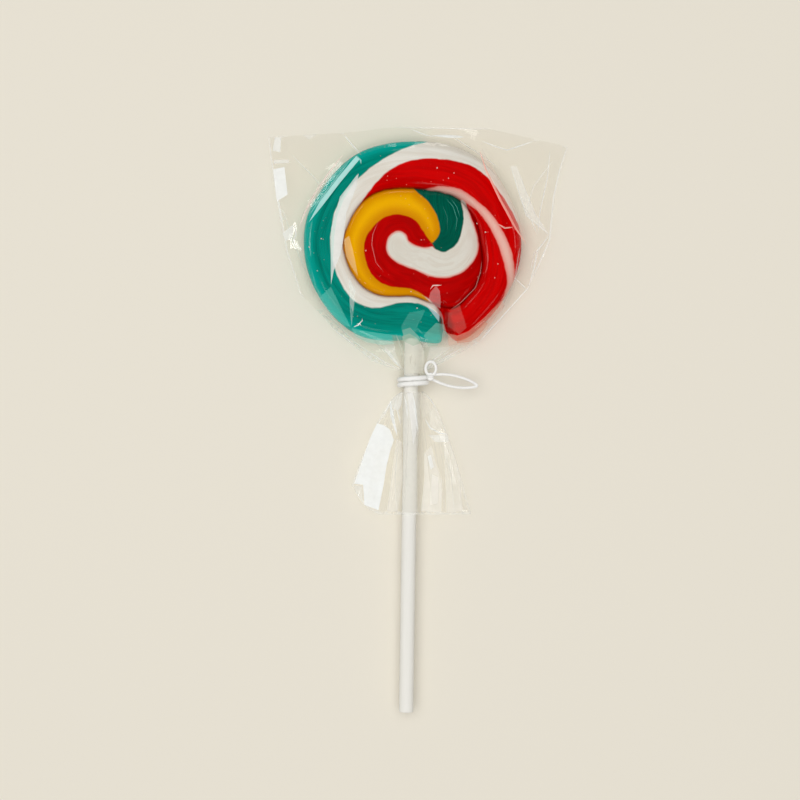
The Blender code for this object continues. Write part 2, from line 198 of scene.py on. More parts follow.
NOTCH_HALF_WIDTH, NOTCH_FLOOR = 1.5, 3.2
NOTCH_STEP = 1.0          # the ring's own height over that floor, in the notch
NOTCH_DIP = 4.4           # how far it cuts into the outline
NOTCH_IN_GROOVE = 0.6     # share of the way down that the groove goes where it meets the notch
NOTCH_IN_EDGE = 0.6       # share of the back's rounded edge that the notch takes away
CANDY_COLUMNS = 460
# Rows of corners down a column, band by band
COIL_ROWS, COIL_EDGE_ROWS, RING_INNER_ROWS, RING_OUTER_ROWS = 22, 16, 12, 16
BACK_EDGE_ROWS, BACK_RING_ROWS, BACK_GROOVE_ROWS, BACK_ROWS = 10, 6, 8, 14


def clock_radius(radii, angle):
    """A smooth closed curve's radius at an angle, from its radii at equal clock steps."""
    place = (angle % TAU) / TAU * len(radii)
    step = int(place)
    f = place - step
    a, b, c, d = (radii[(step + k) % len(radii)] for k in (-1, 0, 1, 2))
    return b + 0.5 * f * (c - a + f * (2 * a - 5 * b + 4 * c - d + f * (3 * (b - c) + d - a)))


def wrapped(angle):
    """The same angle, between half a turn back and half a turn on."""
    return (angle + math.pi) % TAU - math.pi


def rope_arc(steps):
    """Shares (across, up) along a quarter of the rope's section, from its side to its top."""
    power = 2 / ROUNDNESS
    turns = [k / steps * math.pi / 2 for k in range(steps + 1)]
    return [(1 - max(math.cos(t), 0.0) ** power, max(math.sin(t), 0.0) ** power) for t in turns]


def notch_lean(angle, share):
    """The notch runs straight down, so the columns near it turn a little towards the outline."""
    near = math.exp(-((wrapped(angle - NOTCH_ANGLE) / NOTCH_REACH) ** 2))
    return angle + (NOTCH_OUTER_ANGLE - NOTCH_INNER_ANGLE) * (share - 0.5) * near


def candy_column(angle):
    """Radii of groove and outline, and (radius, height) from mid front to mid back down a column."""
    groove = clock_radius(GROOVE_RADII, angle)
    outline = clock_radius(OUTLINE_RADII, angle)
    notch = math.exp(-((wrapped(angle - NOTCH_ANGLE) * outline / NOTCH_HALF_WIDTH) ** 2))
    outline -= NOTCH_DIP * notch
    crest = groove + CREST_SHARE * (outline - groove)
    deep = 0.5 + 0.5 * math.cos(angle - GROOVE_DEEP_ANGLE)
    ring_top = RING_TOP + RING_SWELL * math.sin(2 * angle + RING_SWELL_START)
    floor = RING_TOP - GROOVE_SHALLOW - (GROOVE_DEEP - GROOVE_SHALLOW) * deep
    floor += (NOTCH_FLOOR - floor) * NOTCH_IN_GROOVE * notch
    ring_top += (NOTCH_FLOOR + NOTCH_STEP - ring_top) * notch
    edge = COIL_EDGE_NARROW + (COIL_EDGE_WIDE - COIL_EDGE_NARROW) * deep
    back_edge = BACK_EDGE * (1 - NOTCH_IN_EDGE * notch)
    back_seam = BACK_GROOVE * notch

    def coil_height(radius):
        return COIL_TOP - COIL_FALL * radius * math.cos(angle - COIL_FALL_ANGLE)

    # the coil's flat, its rounded edge, the ring's inner and outer flank
    flat = groove - edge
    points = [(flat * k / COIL_ROWS, coil_height(flat * k / COIL_ROWS)) for k in range(1, COIL_ROWS)]
    for across, up in reversed(rope_arc(COIL_EDGE_ROWS)):
        radius = groove - edge * across
        points.append((radius, floor + (coil_height(radius) - floor) * up))
    for across, up in rope_arc(RING_INNER_ROWS)[1:]:
        points.append((groove + (crest - groove) * across, floor + (ring_top - floor) * up))
    for across, up in reversed(rope_arc(RING_OUTER_ROWS)[:-1]):
        points.append((outline - (outline - crest) * across, RIM_HEIGHT + (ring_top - RIM_HEIGHT) * up))
    # the back's rounded edge, its ring, the groove there and the flat on which the candy lies
    for across, up in rope_arc(BACK_EDGE_ROWS)[1:]:
        points.append((outline - back_edge * across, RIM_HEIGHT - (RIM_HEIGHT - back_seam) * up))
    inner = groove + BACK_GROOVE_HALF_WIDTH
    for k in range(1, BACK_RING_ROWS + 1):
        way_in = (inner - outline + back_edge) * k / BACK_RING_ROWS
        points.append((outline - back_edge + way_in, back_seam))
    for k in range(1, BACK_GROOVE_ROWS + 1):
        share = k / BACK_GROOVE_ROWS
        away = 1 - abs(2 * share - 1)
        height = BACK_GROOVE * away * away * (3 - 2 * away)
        side_seam = back_seam if share < 0.5 else 0.0
        points.append((inner - 2 * BACK_GROOVE_HALF_WIDTH * share, max(height, side_seam * (1 - share))))
    rest = groove - BACK_GROOVE_HALF_WIDTH
    points += [(rest * (1 - k / BACK_ROWS), 0.0) for k in range(1, BACK_ROWS)]
    return groove, outline, points


def smooth_run(points, steps=6):
    """Points on a smooth curve through the given ones, ends included."""
    ends = [points[0], *points, points[-1]]
    run = []
    for a, b, c, d in zip(ends, ends[1:], ends[2:], ends[3:]):
        for s in range(steps):
            f = s / steps
            run.append(tuple(
                q + 0.5 * f * (r - p + f * (2 * p - 5 * q + 4 * r - t + f * (3 * (q - r) + t - p)))
                for p, q, r, t in zip(a, b, c, d)
            ))
    return run + [points[-1]]


def depth_inside(area, places):
    """Distance of each place from a closed area's edge in mm, above zero inside it."""
    area = np.array(area)
    nearest = np.full(len(places), 1e9)
    inside = np.zeros(len(places), bool)
    for start, end in zip(area, np.roll(area, -1, axis=0)):
        side = end - start
        length = side @ side
        if length < 1e-12:
            continue
        share = np.clip((places - start) @ side / length, 0, 1)
        gap = places - start - share[:, None] * side
        nearest = np.minimum(nearest, (gap * gap).sum(axis=1))
        spans = (start[1] > places[:, 1]) != (end[1] > places[:, 1])
        if side[1]:
            crossing = start[0] + side[0] * (places[:, 1] - start[1]) / side[1]
            inside ^= spans & (places[:, 0] < crossing)
    return np.where(inside, 1, -1) * np.sqrt(nearest)


FACE_HEIGHT = 10.2        # of the front face, nearer to the camera than the stick


def on_face(points):
    """Points read off at the stick's height, moved to where they lie on the higher front face."""
    share = (camera_height - FACE_HEIGHT) / (camera_height - STICK_HEIGHT)
    mid_x, mid_y = PICTURE_MIDDLE
    return [(mid_x + (x - mid_x) * share, mid_y + (y - mid_y) * share) for x, y in points]


# Edges of the strands on the shown face, as points from the candy's middle at the stick's height
TEAL_INNER_EDGE = (
    (9.4, -23.4), (7.6, -22.0), (4.8, -20.0), (1.7, -18.8), (-3.9, -18.6), (-8.6, -19.8), (-12.6, -20.2),
    (-17.0, -18.7), (-20.1, -16.2), (-23.2, -10.6), (-25.1, -4.7), (-25.6, 0.6), (-25.2, 5.2),
    (-24.3, 9.5), (-22.4, 13.6), (-19.6, 17.6), (-16.0, 21.0), (-12.0, 24.2), (-8.0, 26.9), (-3.7, 29.1),
    (-0.2, 30.6), (3.6, 31.6), (6.4, 33.4),
)
RED_OUTER_EDGE = (
    (-17.5, 10.4), (-14.5, 15.0), (-10.8, 19.5), (-6.4, 23.2), (-0.8, 25.7), (5.5, 26.4), (11.7, 25.9),
    (17.9, 24.3), (21.7, 22.0), (24.8, 19.0), (28.2, 14.6), (31.0, 10.2), (33.4, 6.0),
)
WHITE_UNDER_YELLOW = (
    (9.6, -24.0), (9.0, -21.6), (7.0, -19.3), (4.9, -17.3), (2.3, -16.3), (-7.0, -14.9),
    (-12.6, -12.3), (-17.3, -7.0), (-18.6, -0.6), (-18.3, 5.6), (-17.5, 10.4),
)
SLIVER_OUTER_EDGE = (
    (2.7, 16.6), (5.5, 17.3), (8.6, 17.8), (11.7, 17.5), (15.4, 16.5), (19.8, 13.4), (24.2, 9.4),
    (27.3, 5.0), (30.4, -1.2), (31.9, -7.8), (32.2, -12.8), (31.6, -18.4),
)
SLIVER_INNER_EDGE = (
    (27.0, -21.0), (28.2, -17.5), (29.3, -14.0), (29.6, -11.0), (28.5, -5.9), (26.4, 0.0), (24.7, 3.7),
    (22.6, 7.1), (20.1, 10.2), (17.4, 12.2), (14.8, 13.7), (11.7, 14.9), (8.6, 15.6), (5.5, 16.2),
)
YELLOW_INNER_EDGE = (
    (6.1, 0.0), (4.8, 1.6), (3.3, 3.9), (1.4, 6.7), (-0.8, 8.1), (-3.9, 8.9), (-6.7, 8.8), (-9.5, 7.6),
    (-12.3, 5.0), (-14.5, 1.9), (-15.1, -1.6), (-14.5, -5.9), (-12.6, -10.0), (-10.1, -12.3),
    (-6.4, -13.7), (-2.3, -14.0), (0.8, -14.8), (3.3, -16.2), (5.4, -18.0),
)
YELLOW_TEAL_EDGE = (
    (-0.5, 18.5), (1.1, 16.5), (2.7, 15.1), (4.5, 13.6), (6.1, 11.5), (7.3, 9.2), (8.3, 6.2),
    (8.4, 3.4), (7.6, 1.6), (6.1, 0.0),
)
TEAL_UNDER_YELLOW = ((6.1, 0.2), (5.9, 3.5), (4.2, 8.5), (1.5, 12.5), (-1.0, 15.0), (-2.0, 19.0))
HOOK_TEAL_EDGE = (
    (6.3, -1.1), (7.6, -2.2), (9.8, -2.8), (11.4, -2.1), (13.3, -0.9), (14.5, 0.8), (15.4, 4.1),
    (16.0, 7.2), (16.0, 9.6), (15.6, 11.6), (15.2, 13.6),
)
HOOK_RED_EDGE = (
    (16.4, 13.4), (17.2, 11.4), (18.0, 9.2), (18.9, 6.9), (20.1, 3.7), (20.7, 0.0), (20.4, -2.8),
    (19.3, -5.3), (17.3, -7.6), (14.8, -9.5), (11.7, -10.6), (8.6, -10.8), (5.5, -10.3), (0.8, -8.4),
    (-3.9, -6.6), (-6.7, -4.7), (-8.1, -2.2), (-8.0, 0.6), (-6.7, 2.7), (-4.8, 3.7), (-3.3, 3.6),
    (-2.0, 2.5), (-1.1, 0.6), (0.8, -0.6), (3.6, -1.3), (6.3, -1.1),
)

# Where a strand runs on under another, or off the candy, its area is closed roughly
OUTSIDE_LEFT = [(6.0, 45.0), (-45.0, 45.0), (-45.0, -45.0), (10.0, -45.0), (10.0, -30.0)]
OUTSIDE_TOP = [(45.0, -2.0), (45.0, 45.0), (-45.0, 45.0), (-45.0, -45.0), (10.0, -45.0), (10.0, -30.0)]
OUTSIDE_YELLOW = [(8.0, -22.0), (0.0, -28.0), (-30.0, -20.0), (-30.0, 20.0), (-10.0, 26.0)]
SLIVER_BELOW = [(36.0, -22.0), (30.0, -26.0)]
TEAL_UNDER_RING = [(17.0, 14.0), (15.0, 21.0)]
TEAL_TOP = [(0.0, 24.0)]
TEAL_UNDER_HOOK = 0.6
HOOK_OVER_GROOVE = 0.3
COIL_EYE = (3.0, -2.0)    # what the strands of the coil wind round
GRAIN_RADIUS = 9.0        # turns the way round the swirl into mm for the noise that streaks it
MIDDLE_IN_GROOVE, MIDDLE_IN_OUTLINE = 20.0, 33.0       # how deep the two middles lie inside

teal_strand = on_face(smooth_run(TEAL_INNER_EDGE)) + OUTSIDE_LEFT
white_strand = on_face(smooth_run(RED_OUTER_EDGE)) + OUTSIDE_TOP
white_strand += on_face(smooth_run(WHITE_UNDER_YELLOW))
sliver_strand = smooth_run(SLIVER_OUTER_EDGE) + SLIVER_BELOW + smooth_run(SLIVER_INNER_EDGE)
sliver_strand = on_face(sliver_strand)
yellow_strand = on_face(smooth_run(YELLOW_INNER_EDGE)) + OUTSIDE_YELLOW
yellow_strand += on_face(smooth_run(YELLOW_TEAL_EDGE))
inner_teal = smooth_run(HOOK_TEAL_EDGE[:-1]) + TEAL_UNDER_RING
inner_teal = [(x + TEAL_UNDER_HOOK, y - TEAL_UNDER_HOOK) for x, y in inner_teal]
inner_teal = on_face(inner_teal + TEAL_TOP + list(TEAL_UNDER_YELLOW)[::-1])
hook_strand = on_face(smooth_run(HOOK_RED_EDGE) + smooth_run(HOOK_TEAL_EDGE))

corners, groove_depth, rim_depth = [], [], []
for k in range(CANDY_COLUMNS):
    angle = TAU * k / CANDY_COLUMNS
    groove, outline, points = candy_column(angle)
    for radius, height in points:
        share = min(max((radius - groove) / (outline - groove), 0.0), 1.0)
        turned = notch_lean(angle, share)
        corners.append((radius * math.cos(turned), radius * math.sin(turned), height))
        groove_depth.append(groove - radius)
        rim_depth.append(outline - radius)
rows = len(points)
front, back = len(corners), len(corners) + 1
corners += [(0, 0, COIL_TOP), (0, 0, 0)]
groove_depth += [MIDDLE_IN_GROOVE] * 2
rim_depth += [MIDDLE_IN_OUTLINE] * 2
starts = [(k * rows, (k + 1) % CANDY_COLUMNS * rows) for k in range(CANDY_COLUMNS)]
faces = [(near + r, near + r + 1, far + r + 1, far + r) for near, far in starts for r in range(rows - 1)]
for near, far in starts:
    faces += [(front, near, far), (back, far + rows - 1, near + rows - 1)]

corners = np.array(corners)
groove_depth = np.array(groove_depth)
flat_places = corners[:, :2]
strands = {
    "white": depth_inside(white_strand, flat_places),
    "sliver": depth_inside(sliver_strand, flat_places),
    "teal": depth_inside(teal_strand, flat_places),
    "inner_teal": np.minimum(depth_inside(inner_teal, flat_places), groove_depth),
    "coil": groove_depth,
    "rim": np.array(rim_depth),
    "yellow": np.minimum(depth_inside(yellow_strand, flat_places), groove_depth),
    "hook": np.minimum(depth_inside(hook_strand, flat_places), groove_depth + HOOK_OVER_GROOVE),
}
angles = np.arctan2(flat_places[:, 1], flat_places[:, 0])
coil_angles = np.arctan2(flat_places[:, 1] - COIL_EYE[1], flat_places[:, 0] - COIL_EYE[0])
around = np.where(groove_depth > 0, coil_angles, angles)
across = np.where(groove_depth > 0, -strands["hook"], -groove_depth)
grain = np.stack([across, GRAIN_RADIUS * np.cos(around), GRAIN_RADIUS * np.sin(around)], axis=1)

candy = add_object("swirl_candy", corners, faces)
for name, values in strands.items():
    candy.data.attributes.new(name, "FLOAT", "POINT").data.foreach_set("value", values.astype(np.float32))
grain_data = candy.data.attributes.new("grain", "FLOAT_VECTOR", "POINT").data
grain_data.foreach_set("vector", grain.astype(np.float32).ravel())

WHITE, SHADED_WHITE = rgb(231, 229, 223), rgb(223, 218, 209)
COIL_WHITE, COIL_SHADED_WHITE = rgb(223, 221, 213), rgb(217, 212, 202)
SLIVER, SLIVER_EDGE = rgb(234, 184, 173), rgb(230, 148, 138)
RED, DARK_RED = rgb(208, 2, 4), rgb(190, 0, 3)
COIL_RED, COIL_DARK_RED = rgb(188, 1, 4), rgb(170, 0, 3)
TEAL, DARK_TEAL, RIM_HIGHLIGHT_TEAL = rgb(1, 139, 125), rgb(0, 112, 100), rgb(12, 174, 164)
INNER_TEAL, INNER_DARK_TEAL = rgb(0, 100, 82), rgb(0, 82, 68)
YELLOW, AMBER = rgb(241, 178, 1), rgb(214, 140, 3)
SEAM_SHADE, SPECK = rgb(150, 96, 82), rgb(240, 180, 170)
EDGE_BLUR, EDGE_WAVER = 0.26, 0.5   # how soft the edges of the strands are, and how far they waver

material, tree = new_material("pulled sugar")
grain_in = node(tree, "Attribute", attribute_name="grain").outputs["Vector"]
place_in = node(tree, "TexCoord").outputs["Object"]
wobble = node(tree, "TexNoise", {"Vector": place_in, "Scale": 420.0, "Detail": 1.0}).outputs["Fac"]


def ranged(value, low, high, start=0.0, end=1.0):
    """A value from low to high turned into one from start to end, smoothly and no further."""
    sockets = {"Value": value, "From Min": low, "From Max": high, "To Min": start, "To Max": end}
    return node(tree, "MapRange", sockets, interpolation_type="SMOOTHSTEP").outputs["Result"]


def multiplied(one, other):
    return node(tree, "Math", {0: one, 1: other}, operation="MULTIPLY").outputs[0]


def painted(under, colour, share):
    """One colour laid over another by a share from 0 to 1."""
    return node(tree, "MixRGB", {0: share, 1: under, 2: colour}).outputs[0]


def depth_of(name):
    """How deep a point lies inside a strand, in mm."""
    return node(tree, "Attribute", attribute_name=name).outputs["Fac"]


def strand_share(name):
    """How much of this strand's colour a point takes, with a slightly uneven edge."""
    sockets = {0: wobble, 1: EDGE_WAVER, 2: depth_of(name)}
    uneven = node(tree, "Math", sockets, operation="MULTIPLY_ADD").outputs[0]
    return ranged(uneven, EDGE_WAVER / 2 - EDGE_BLUR, EDGE_WAVER / 2 + EDGE_BLUR)


def streaked(scale, detail):
    """Noise drawn out along the rope, as the strands were when it was pulled."""
    stretch = node(tree, "Mapping", {"Vector": grain_in, "Scale": scale})
    sockets = {"Vector": stretch, "Scale": 1.0, "Detail": detail, "Roughness": 0.6}
    return node(tree, "TexNoise", sockets).outputs["Fac"]


fine = streaked((5.0, 0.30, 0.30), 3.0)
broad = streaked((0.9, 0.16, 0.16), 2.0)
# fine streaks that lighten the teal: partly the pulled strands, partly painted streaks of highlight along the
# rope
streaks_and_sheen = ranged(fine, 0.40, 0.70)
bands = ranged(broad, 0.36, 0.64)

# the outer ring's strands, then those of the coil
colour = painted(DARK_RED, RED, bands)
colour = painted(colour, painted(COIL_DARK_RED, COIL_RED, bands), ranged(depth_of("coil"), -0.4, 0.4))
colour = painted(colour, painted(SHADED_WHITE, WHITE, bands), strand_share("white"))
sliver_pink = painted(SLIVER_EDGE, SLIVER, ranged(depth_of("sliver"), 0.0, 1.3))
colour = painted(colour, sliver_pink, strand_share("sliver"))
ring_teal = painted(painted(DARK_TEAL, TEAL, bands), TEAL, streaks_and_sheen)
# painted highlight: the teal lightens within a few mm of the outline, as the rounded rim would catch the
# light
ring_teal = painted(ring_teal, RIM_HIGHLIGHT_TEAL, ranged(depth_of("rim"), 0.6, 4.2, 1.0, 0.0))
colour = painted(colour, ring_teal, strand_share("teal"))
colour = painted(colour, painted(INNER_DARK_TEAL, INNER_TEAL, streaks_and_sheen), strand_share("inner_teal"))
coil_yellow = painted(AMBER, YELLOW, ranged(depth_of("yellow"), 0.2, 4.2))
colour = painted(colour, coil_yellow, strand_share("yellow"))
# red shows pink through the hook's thin edge, apart from where it borders on teal
hook_edge = ranged(depth_of("hook"), 0.1, 0.75, 0.75, 0.0)
hook_edge = multiplied(hook_edge, ranged(depth_of("inner_teal"), -1.6, -0.6, 1.0, 0.0))
hook_white = painted(painted(COIL_SHADED_WHITE, COIL_WHITE, bands), SLIVER_EDGE, hook_edge)
colour = painted(colour, hook_white, strand_share("hook"))
# painted shade darkens the seam between ring and coil, but only faintly beside the sliver of white
from_seam = node(tree, "Math", {0: depth_of("coil")}, operation="ABSOLUTE").outputs[0]
seam_shade_share = ranged(from_seam, 0.0, 0.9, 0.4, 0.0)
seam_shade_share = multiplied(seam_shade_share, ranged(depth_of("sliver"), -0.3, 0.4, 1.0, 0.2))
seam = node(tree, "MixRGB", {0: seam_shade_share, 1: colour, 2: SEAM_SHADE}, blend_type="MULTIPLY").outputs[0]
specks = node(tree, "TexVoronoi", {"Vector": place_in, "Scale": 600.0}).outputs["Distance"]
rare = node(tree, "TexNoise", {"Vector": place_in, "Scale": 90.0}).outputs["Fac"]
speck = multiplied(ranged(specks, 0.06, 0.12, 0.4, 0.0), ranged(rare, 0.48, 0.60))

lumps = node(tree, "TexNoise", {"Vector": place_in, "Scale": 130.0, "Detail": 2.0}).outputs["Fac"]
bump = node(tree, "Bump", {"Height": fine, "Strength": 0.1, "Distance": 0.00006})
bump = node(tree, "Bump", {"Height": lumps, "Strength": 0.3, "Distance": 0.0006, "Normal": bump})
sugar = node(tree, "BsdfPrincipled", {
    "Base Color": painted(seam, SPECK, speck), "Normal": bump, "Roughness": 0.13, "IOR": 1.5,
    "Specular IOR Level": 0.12, "Subsurface Weight": 0.06, "Subsurface Scale": 0.0008,
    "Subsurface Radius": (1.0, 0.8, 0.7),
})
cover(candy, material, sugar)
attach(candy, "root")
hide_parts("candy")

# The bubbles in the sugar.
# Air that was worked into the boiled sugar while it was pulled. The bubbles near the surface swelled
# as it cooled and stand out of it as small bright beads.

BUBBLES = (
    (7.6, 22.8, 0.32), (12.8, 21.2, 0.22), (20.1, 5.9, 0.25), (22.6, 3.0, 0.28), (26.4, -6.9, 0.25),
    (2.7, 0.6, 0.22), (-14.5, -2.8, 0.25), (-28.2, 0.9, 0.25), (-32.0, -1.6, 0.22), (1.4, -20.6, 0.28),
    (-0.5, -15.3, 0.3), (11.1, 19.6, 0.2), (25.4, -11.2, 0.2), (-29.5, -9.0, 0.2), (21.0, -9.5, 0.2),
)
BUBBLE_STANDS_OUT = 0.35   # share of its radius
SEEN_FROM_ABOVE = 0.2      # weight of the height, so that a bubble sits on the front and not the back

edit = bmesh.new()
for x, y, size in BUBBLES:
    near = np.hypot(corners[:, 0] - x, corners[:, 1] - y) - SEEN_FROM_ABOVE * corners[:, 2]
    height = corners[int(near.argmin())][2]
    place = Vector((x, y, height - size * (1 - BUBBLE_STANDS_OUT)))
    bmesh.ops.create_icosphere(edit, subdivisions=2, radius=size * MM, matrix=Matrix.Translation(place * MM))
bubbles = add_object("sugar_bubbles", [], [])
edit.to_mesh(bubbles.data)
edit.free()
bubbles.data.shade_smooth()
material, tree = new_material("bubble skin")
tone = node(tree, "TexNoise", {"Scale": 300.0}).outputs["Fac"]
bead_colour = painted(rgb(236, 214, 205), rgb(250, 244, 238), tone)
bead = node(tree, "BsdfPrincipled", {"Base Color": bead_colour, "Roughness": 0.1, "Alpha": 0.75})
cover(bubbles, material, bead)
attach(bubbles, "root")

# The stick.
# White paper wound into a solid rod, cut square and pushed into the edge of the warm sugar.

STICK_RADIUS, STICK_LENGTH = 2.25, 150.0
STICK_TOP, STICK_TOP_X = 3.7, 0.23   # its hidden end, beside the candy's middle
STICK_LEAN = math.radians(-0.85)
STICK_SIDES, STICK_ROWS = 72, 75
# Radius and depth below the end: the innermost turn of the paper leaves a small ring in the cut end
STICK_CUT_END = (
    (0.0, 0.0), (0.45, 0.05), (0.5, 0.35), (0.6, 0.4), (0.66, 0.06), (1.25, 0.03), (1.85, 0.0),
    (2.05, 0.04), (2.18, 0.12), (2.25, 0.3),
)
STICK_HIDDEN_END = [(2.25, 0.25), (2.15, 0.06), (2.0, 0.0), (0.0, 0.0)]

profile = [(radius, STICK_LENGTH - depth) for radius, depth in STICK_CUT_END]
profile += [(STICK_RADIUS, along) for along in np.linspace(STICK_LENGTH - 1, 1, STICK_ROWS)]
profile += STICK_HIDDEN_END
stick_corners, stick_faces = [], []
for radius, along in profile:
    for k in range(STICK_SIDES):
        turn = TAU * k / STICK_SIDES
        stick_corners.append((radius * math.cos(turn), radius * math.sin(turn), along))
for row in range(len(profile) - 1):
    for k in range(STICK_SIDES):
        a, b = row * STICK_SIDES + k, row * STICK_SIDES + (k + 1) % STICK_SIDES
        stick_faces.append((a, a + STICK_SIDES, b + STICK_SIDES, b))
stick = add_object("paper_stick", stick_corners, stick_faces, sharp_degrees=35)
stick.location = Vector((STICK_TOP_X, STICK_TOP, STICK_HEIGHT)) * MM
stick.rotation_euler = (math.pi / 2, 0, STICK_LEAN)
material, tree = new_material("rolled paper")
place_in = node(tree, "TexCoord").outputs["Object"]
fibres = node(tree, "Mapping", {"Vector": place_in, "Scale": (1500.0, 1500.0, 120.0)})
fibres = node(tree, "TexNoise", {"Vector": fibres, "Scale": 1.0, "Detail": 3.0}).outputs["Fac"]
paper = node(tree, "BsdfPrincipled", {
    "Base Color": painted(rgb(234, 233, 227), rgb(241, 240, 236), fibres), "Roughness": 0.62,
    "Specular IOR Level": 0.25,
    "Normal": node(tree, "Bump", {"Height": fibres, "Strength": 0.3, "Distance": 0.00008}),
})
cover(stick, material, paper)
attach(stick, "root")
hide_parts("stick")

# The bag.
# Clear film about 0.03 mm thick, folded flat with a sealed top. It is drawn tight over both faces of
# the candy, gathered under it, and its open end flares below the cord as a pleated skirt.
# Its folds and sealed edge show white: painted sheen, with some haze of the film itself.

BAG_CORNERS = (
    (4.2, -39.9), (8.6, -37.6), (20.7, -31.2), (36.3, -14.0), (43.2, 0.6), (44.5, 14.4), (46.3, 22.8),
    (48.5, 30.0), (22.6, 35.9), (-3.9, 36.3), (-21.1, 34.3), (-45.1, 33.1), (-44.5, 27.1), (-43.2, 18.1),
    (-39.5, -2.8), (-35.1, -15.9), (-29.9, -20.8), (-23.4, -28.1), (-12.6, -36.8), (-4.2, -40.0),
)
BAG_SHOULDER, BAG_FALL = 4.1, 1.25   # half the thickness beside the candy, and how it falls from there
FILM_OFF_CANDY = 0.5      # from the candy's outline to where the film is free
FILM_OVER_CANDY, FILM_UNDER_CANDY, FILM_HIGHEST = 10.72, -0.04, 10.93
FILM_TURNS_DOWN = 6.5     # width of the band inside the candy's outline where the film turns down
NECK_BEGINS_Y, NECK_Y = -32.0, -40.2
NECK_HALF_WIDTH, NECK_HALF_DEPTH = 3.3, 3.2
NECK_SPREAD = 1.6         # growth of its half width for each mm upwards
SKIRT_Y, SKIRT_LENGTH, SKIRT_HALF_WIDTH, SKIRT_MIDDLE_X = -46.2, 38.4, 18.6, -0.3
SKIRT_HALF_DEPTH, SKIRT_FLARE, SKIRT_PLEATS, SKIRT_PLEAT_DEPTH = 4.3, 0.65, 13, 0.3
SKIRT_CORNER_LIFT = 9.0   # the hem rises towards its left corner
SEAL_WIDTH = 0.55
# Waves in the film: their size, where they start, and their height beside and over the candy
FILM_WAVES = ((7.0, 3.1, 0.42, 0.06), (2.2, 9.7, 0.12, 0.02))
WAVES_FADE = 1.5          # they fade where the sheets are less than twice this apart
CREASE_STEP, EDGE_STEP, OUTLINE_STEP = 2.4, 3.0, 2.4   # longest sides along creases, facets, outline


def even_run(points, step, closed=False):
    """The same path with points no further apart than the step."""
    points = [Vector(p[:2]) for p in points]
    ends = points[1:] + points[:1] if closed else points[1:]
    run = []
    for start, end in zip(points, ends):
        count = max(1, math.ceil((end - start).length / step))
        run += [start.lerp(end, k / count) for k in range(count)]
    return run if closed else run + [points[-1]]


def bag_radius(angle):
    """Distance from the candy's middle to the bag's outline at an angle."""
    way = Vector((math.cos(angle), math.sin(angle)))
    best = 0.0
    for a, b in zip(BAG_CORNERS, BAG_CORNERS[1:] + BAG_CORNERS[:1]):
        start, side = Vector(a), Vector(b) - Vector(a)
        slant = way.x * side.y - way.y * side.x
        if abs(slant) < 1e-9:
            continue
        reach = (start.x * side.y - start.y * side.x) / slant
        share = (start.x * way.y - start.y * way.x) / slant
        if reach > 0 and -1e-6 <= share <= 1 + 1e-6:
            best = max(best, reach)
    return best


def smooth_step(low, high, value):
    share = min(max((value - low) / (high - low), 0.0), 1.0)
    return share * share * (3 - 2 * share)


def skirt_half_width(fall):
    """Half the skirt's width where it has fallen by this share of its length."""
    return NECK_HALF_WIDTH + (SKIRT_HALF_WIDTH - NECK_HALF_WIDTH) * fall ** SKIRT_FLARE


def skirt_place(turn, fall):
    """A point of the skirt seen from the front; turn runs from the right edge (0) to the left (pi)."""
    side = math.cos(turn)
    lift = SKIRT_CORNER_LIFT * max(-side - 0.5, 0.0) ** 2 * 4 * fall
    return SKIRT_MIDDLE_X * fall + skirt_half_width(fall) * side, SKIRT_Y - SKIRT_LENGTH * fall + lift


def film_middle_and_half(x, y):
    """Height of the plane between the two sheets at a place, and half their distance."""
    radius, angle = math.hypot(x, y), math.atan2(y, x)
    inner = clock_radius(OUTLINE_RADII, angle) + FILM_OFF_CANDY
    if y > NECK_Y:
        outer = bag_radius(angle)
        share = min(max((radius - inner) / (outer - inner), 0.0), 1.0)
        middle = RIM_HEIGHT + (STICK_HEIGHT - RIM_HEIGHT) * share
        half = BAG_SHOULDER * (1 - share) ** BAG_FALL
        inside = min(max((inner - radius) / FILM_TURNS_DOWN, 0.0), 1.0)
        inside = 1 - (1 - inside) ** 2
        middle += ((FILM_OVER_CANDY + FILM_UNDER_CANDY) / 2 - middle) * inside
        half += ((FILM_OVER_CANDY - FILM_UNDER_CANDY) / 2 - half) * inside
    else:
        middle, half = STICK_HEIGHT, 0.0
    gathered = 1 - smooth_step(NECK_Y, NECK_BEGINS_Y, y)
    if gathered > 0:
        fall = min(max((SKIRT_Y - y) / SKIRT_LENGTH, 0.0), 1.0)
        if y > SKIRT_Y:
            half_width = NECK_HALF_WIDTH + NECK_SPREAD * max(y - NECK_Y + 1.0, 0.0)
            depth = NECK_HALF_DEPTH
        else:
            half_width = skirt_half_width(fall)
            depth = NECK_HALF_DEPTH + (SKIRT_HALF_DEPTH - NECK_HALF_DEPTH) * fall
        side = min(abs(x - SKIRT_MIDDLE_X * fall) / half_width, 1.0)
        turn = math.acos(side)
        pleat = 1 - SKIRT_PLEAT_DEPTH * fall ** 0.5 * (0.5 + 0.5 * math.cos(SKIRT_PLEATS * turn))
        half += (depth * pleat * math.sqrt(1 - side * side) - half) * gathered
        middle += (STICK_HEIGHT - middle) * gathered
    return middle, half
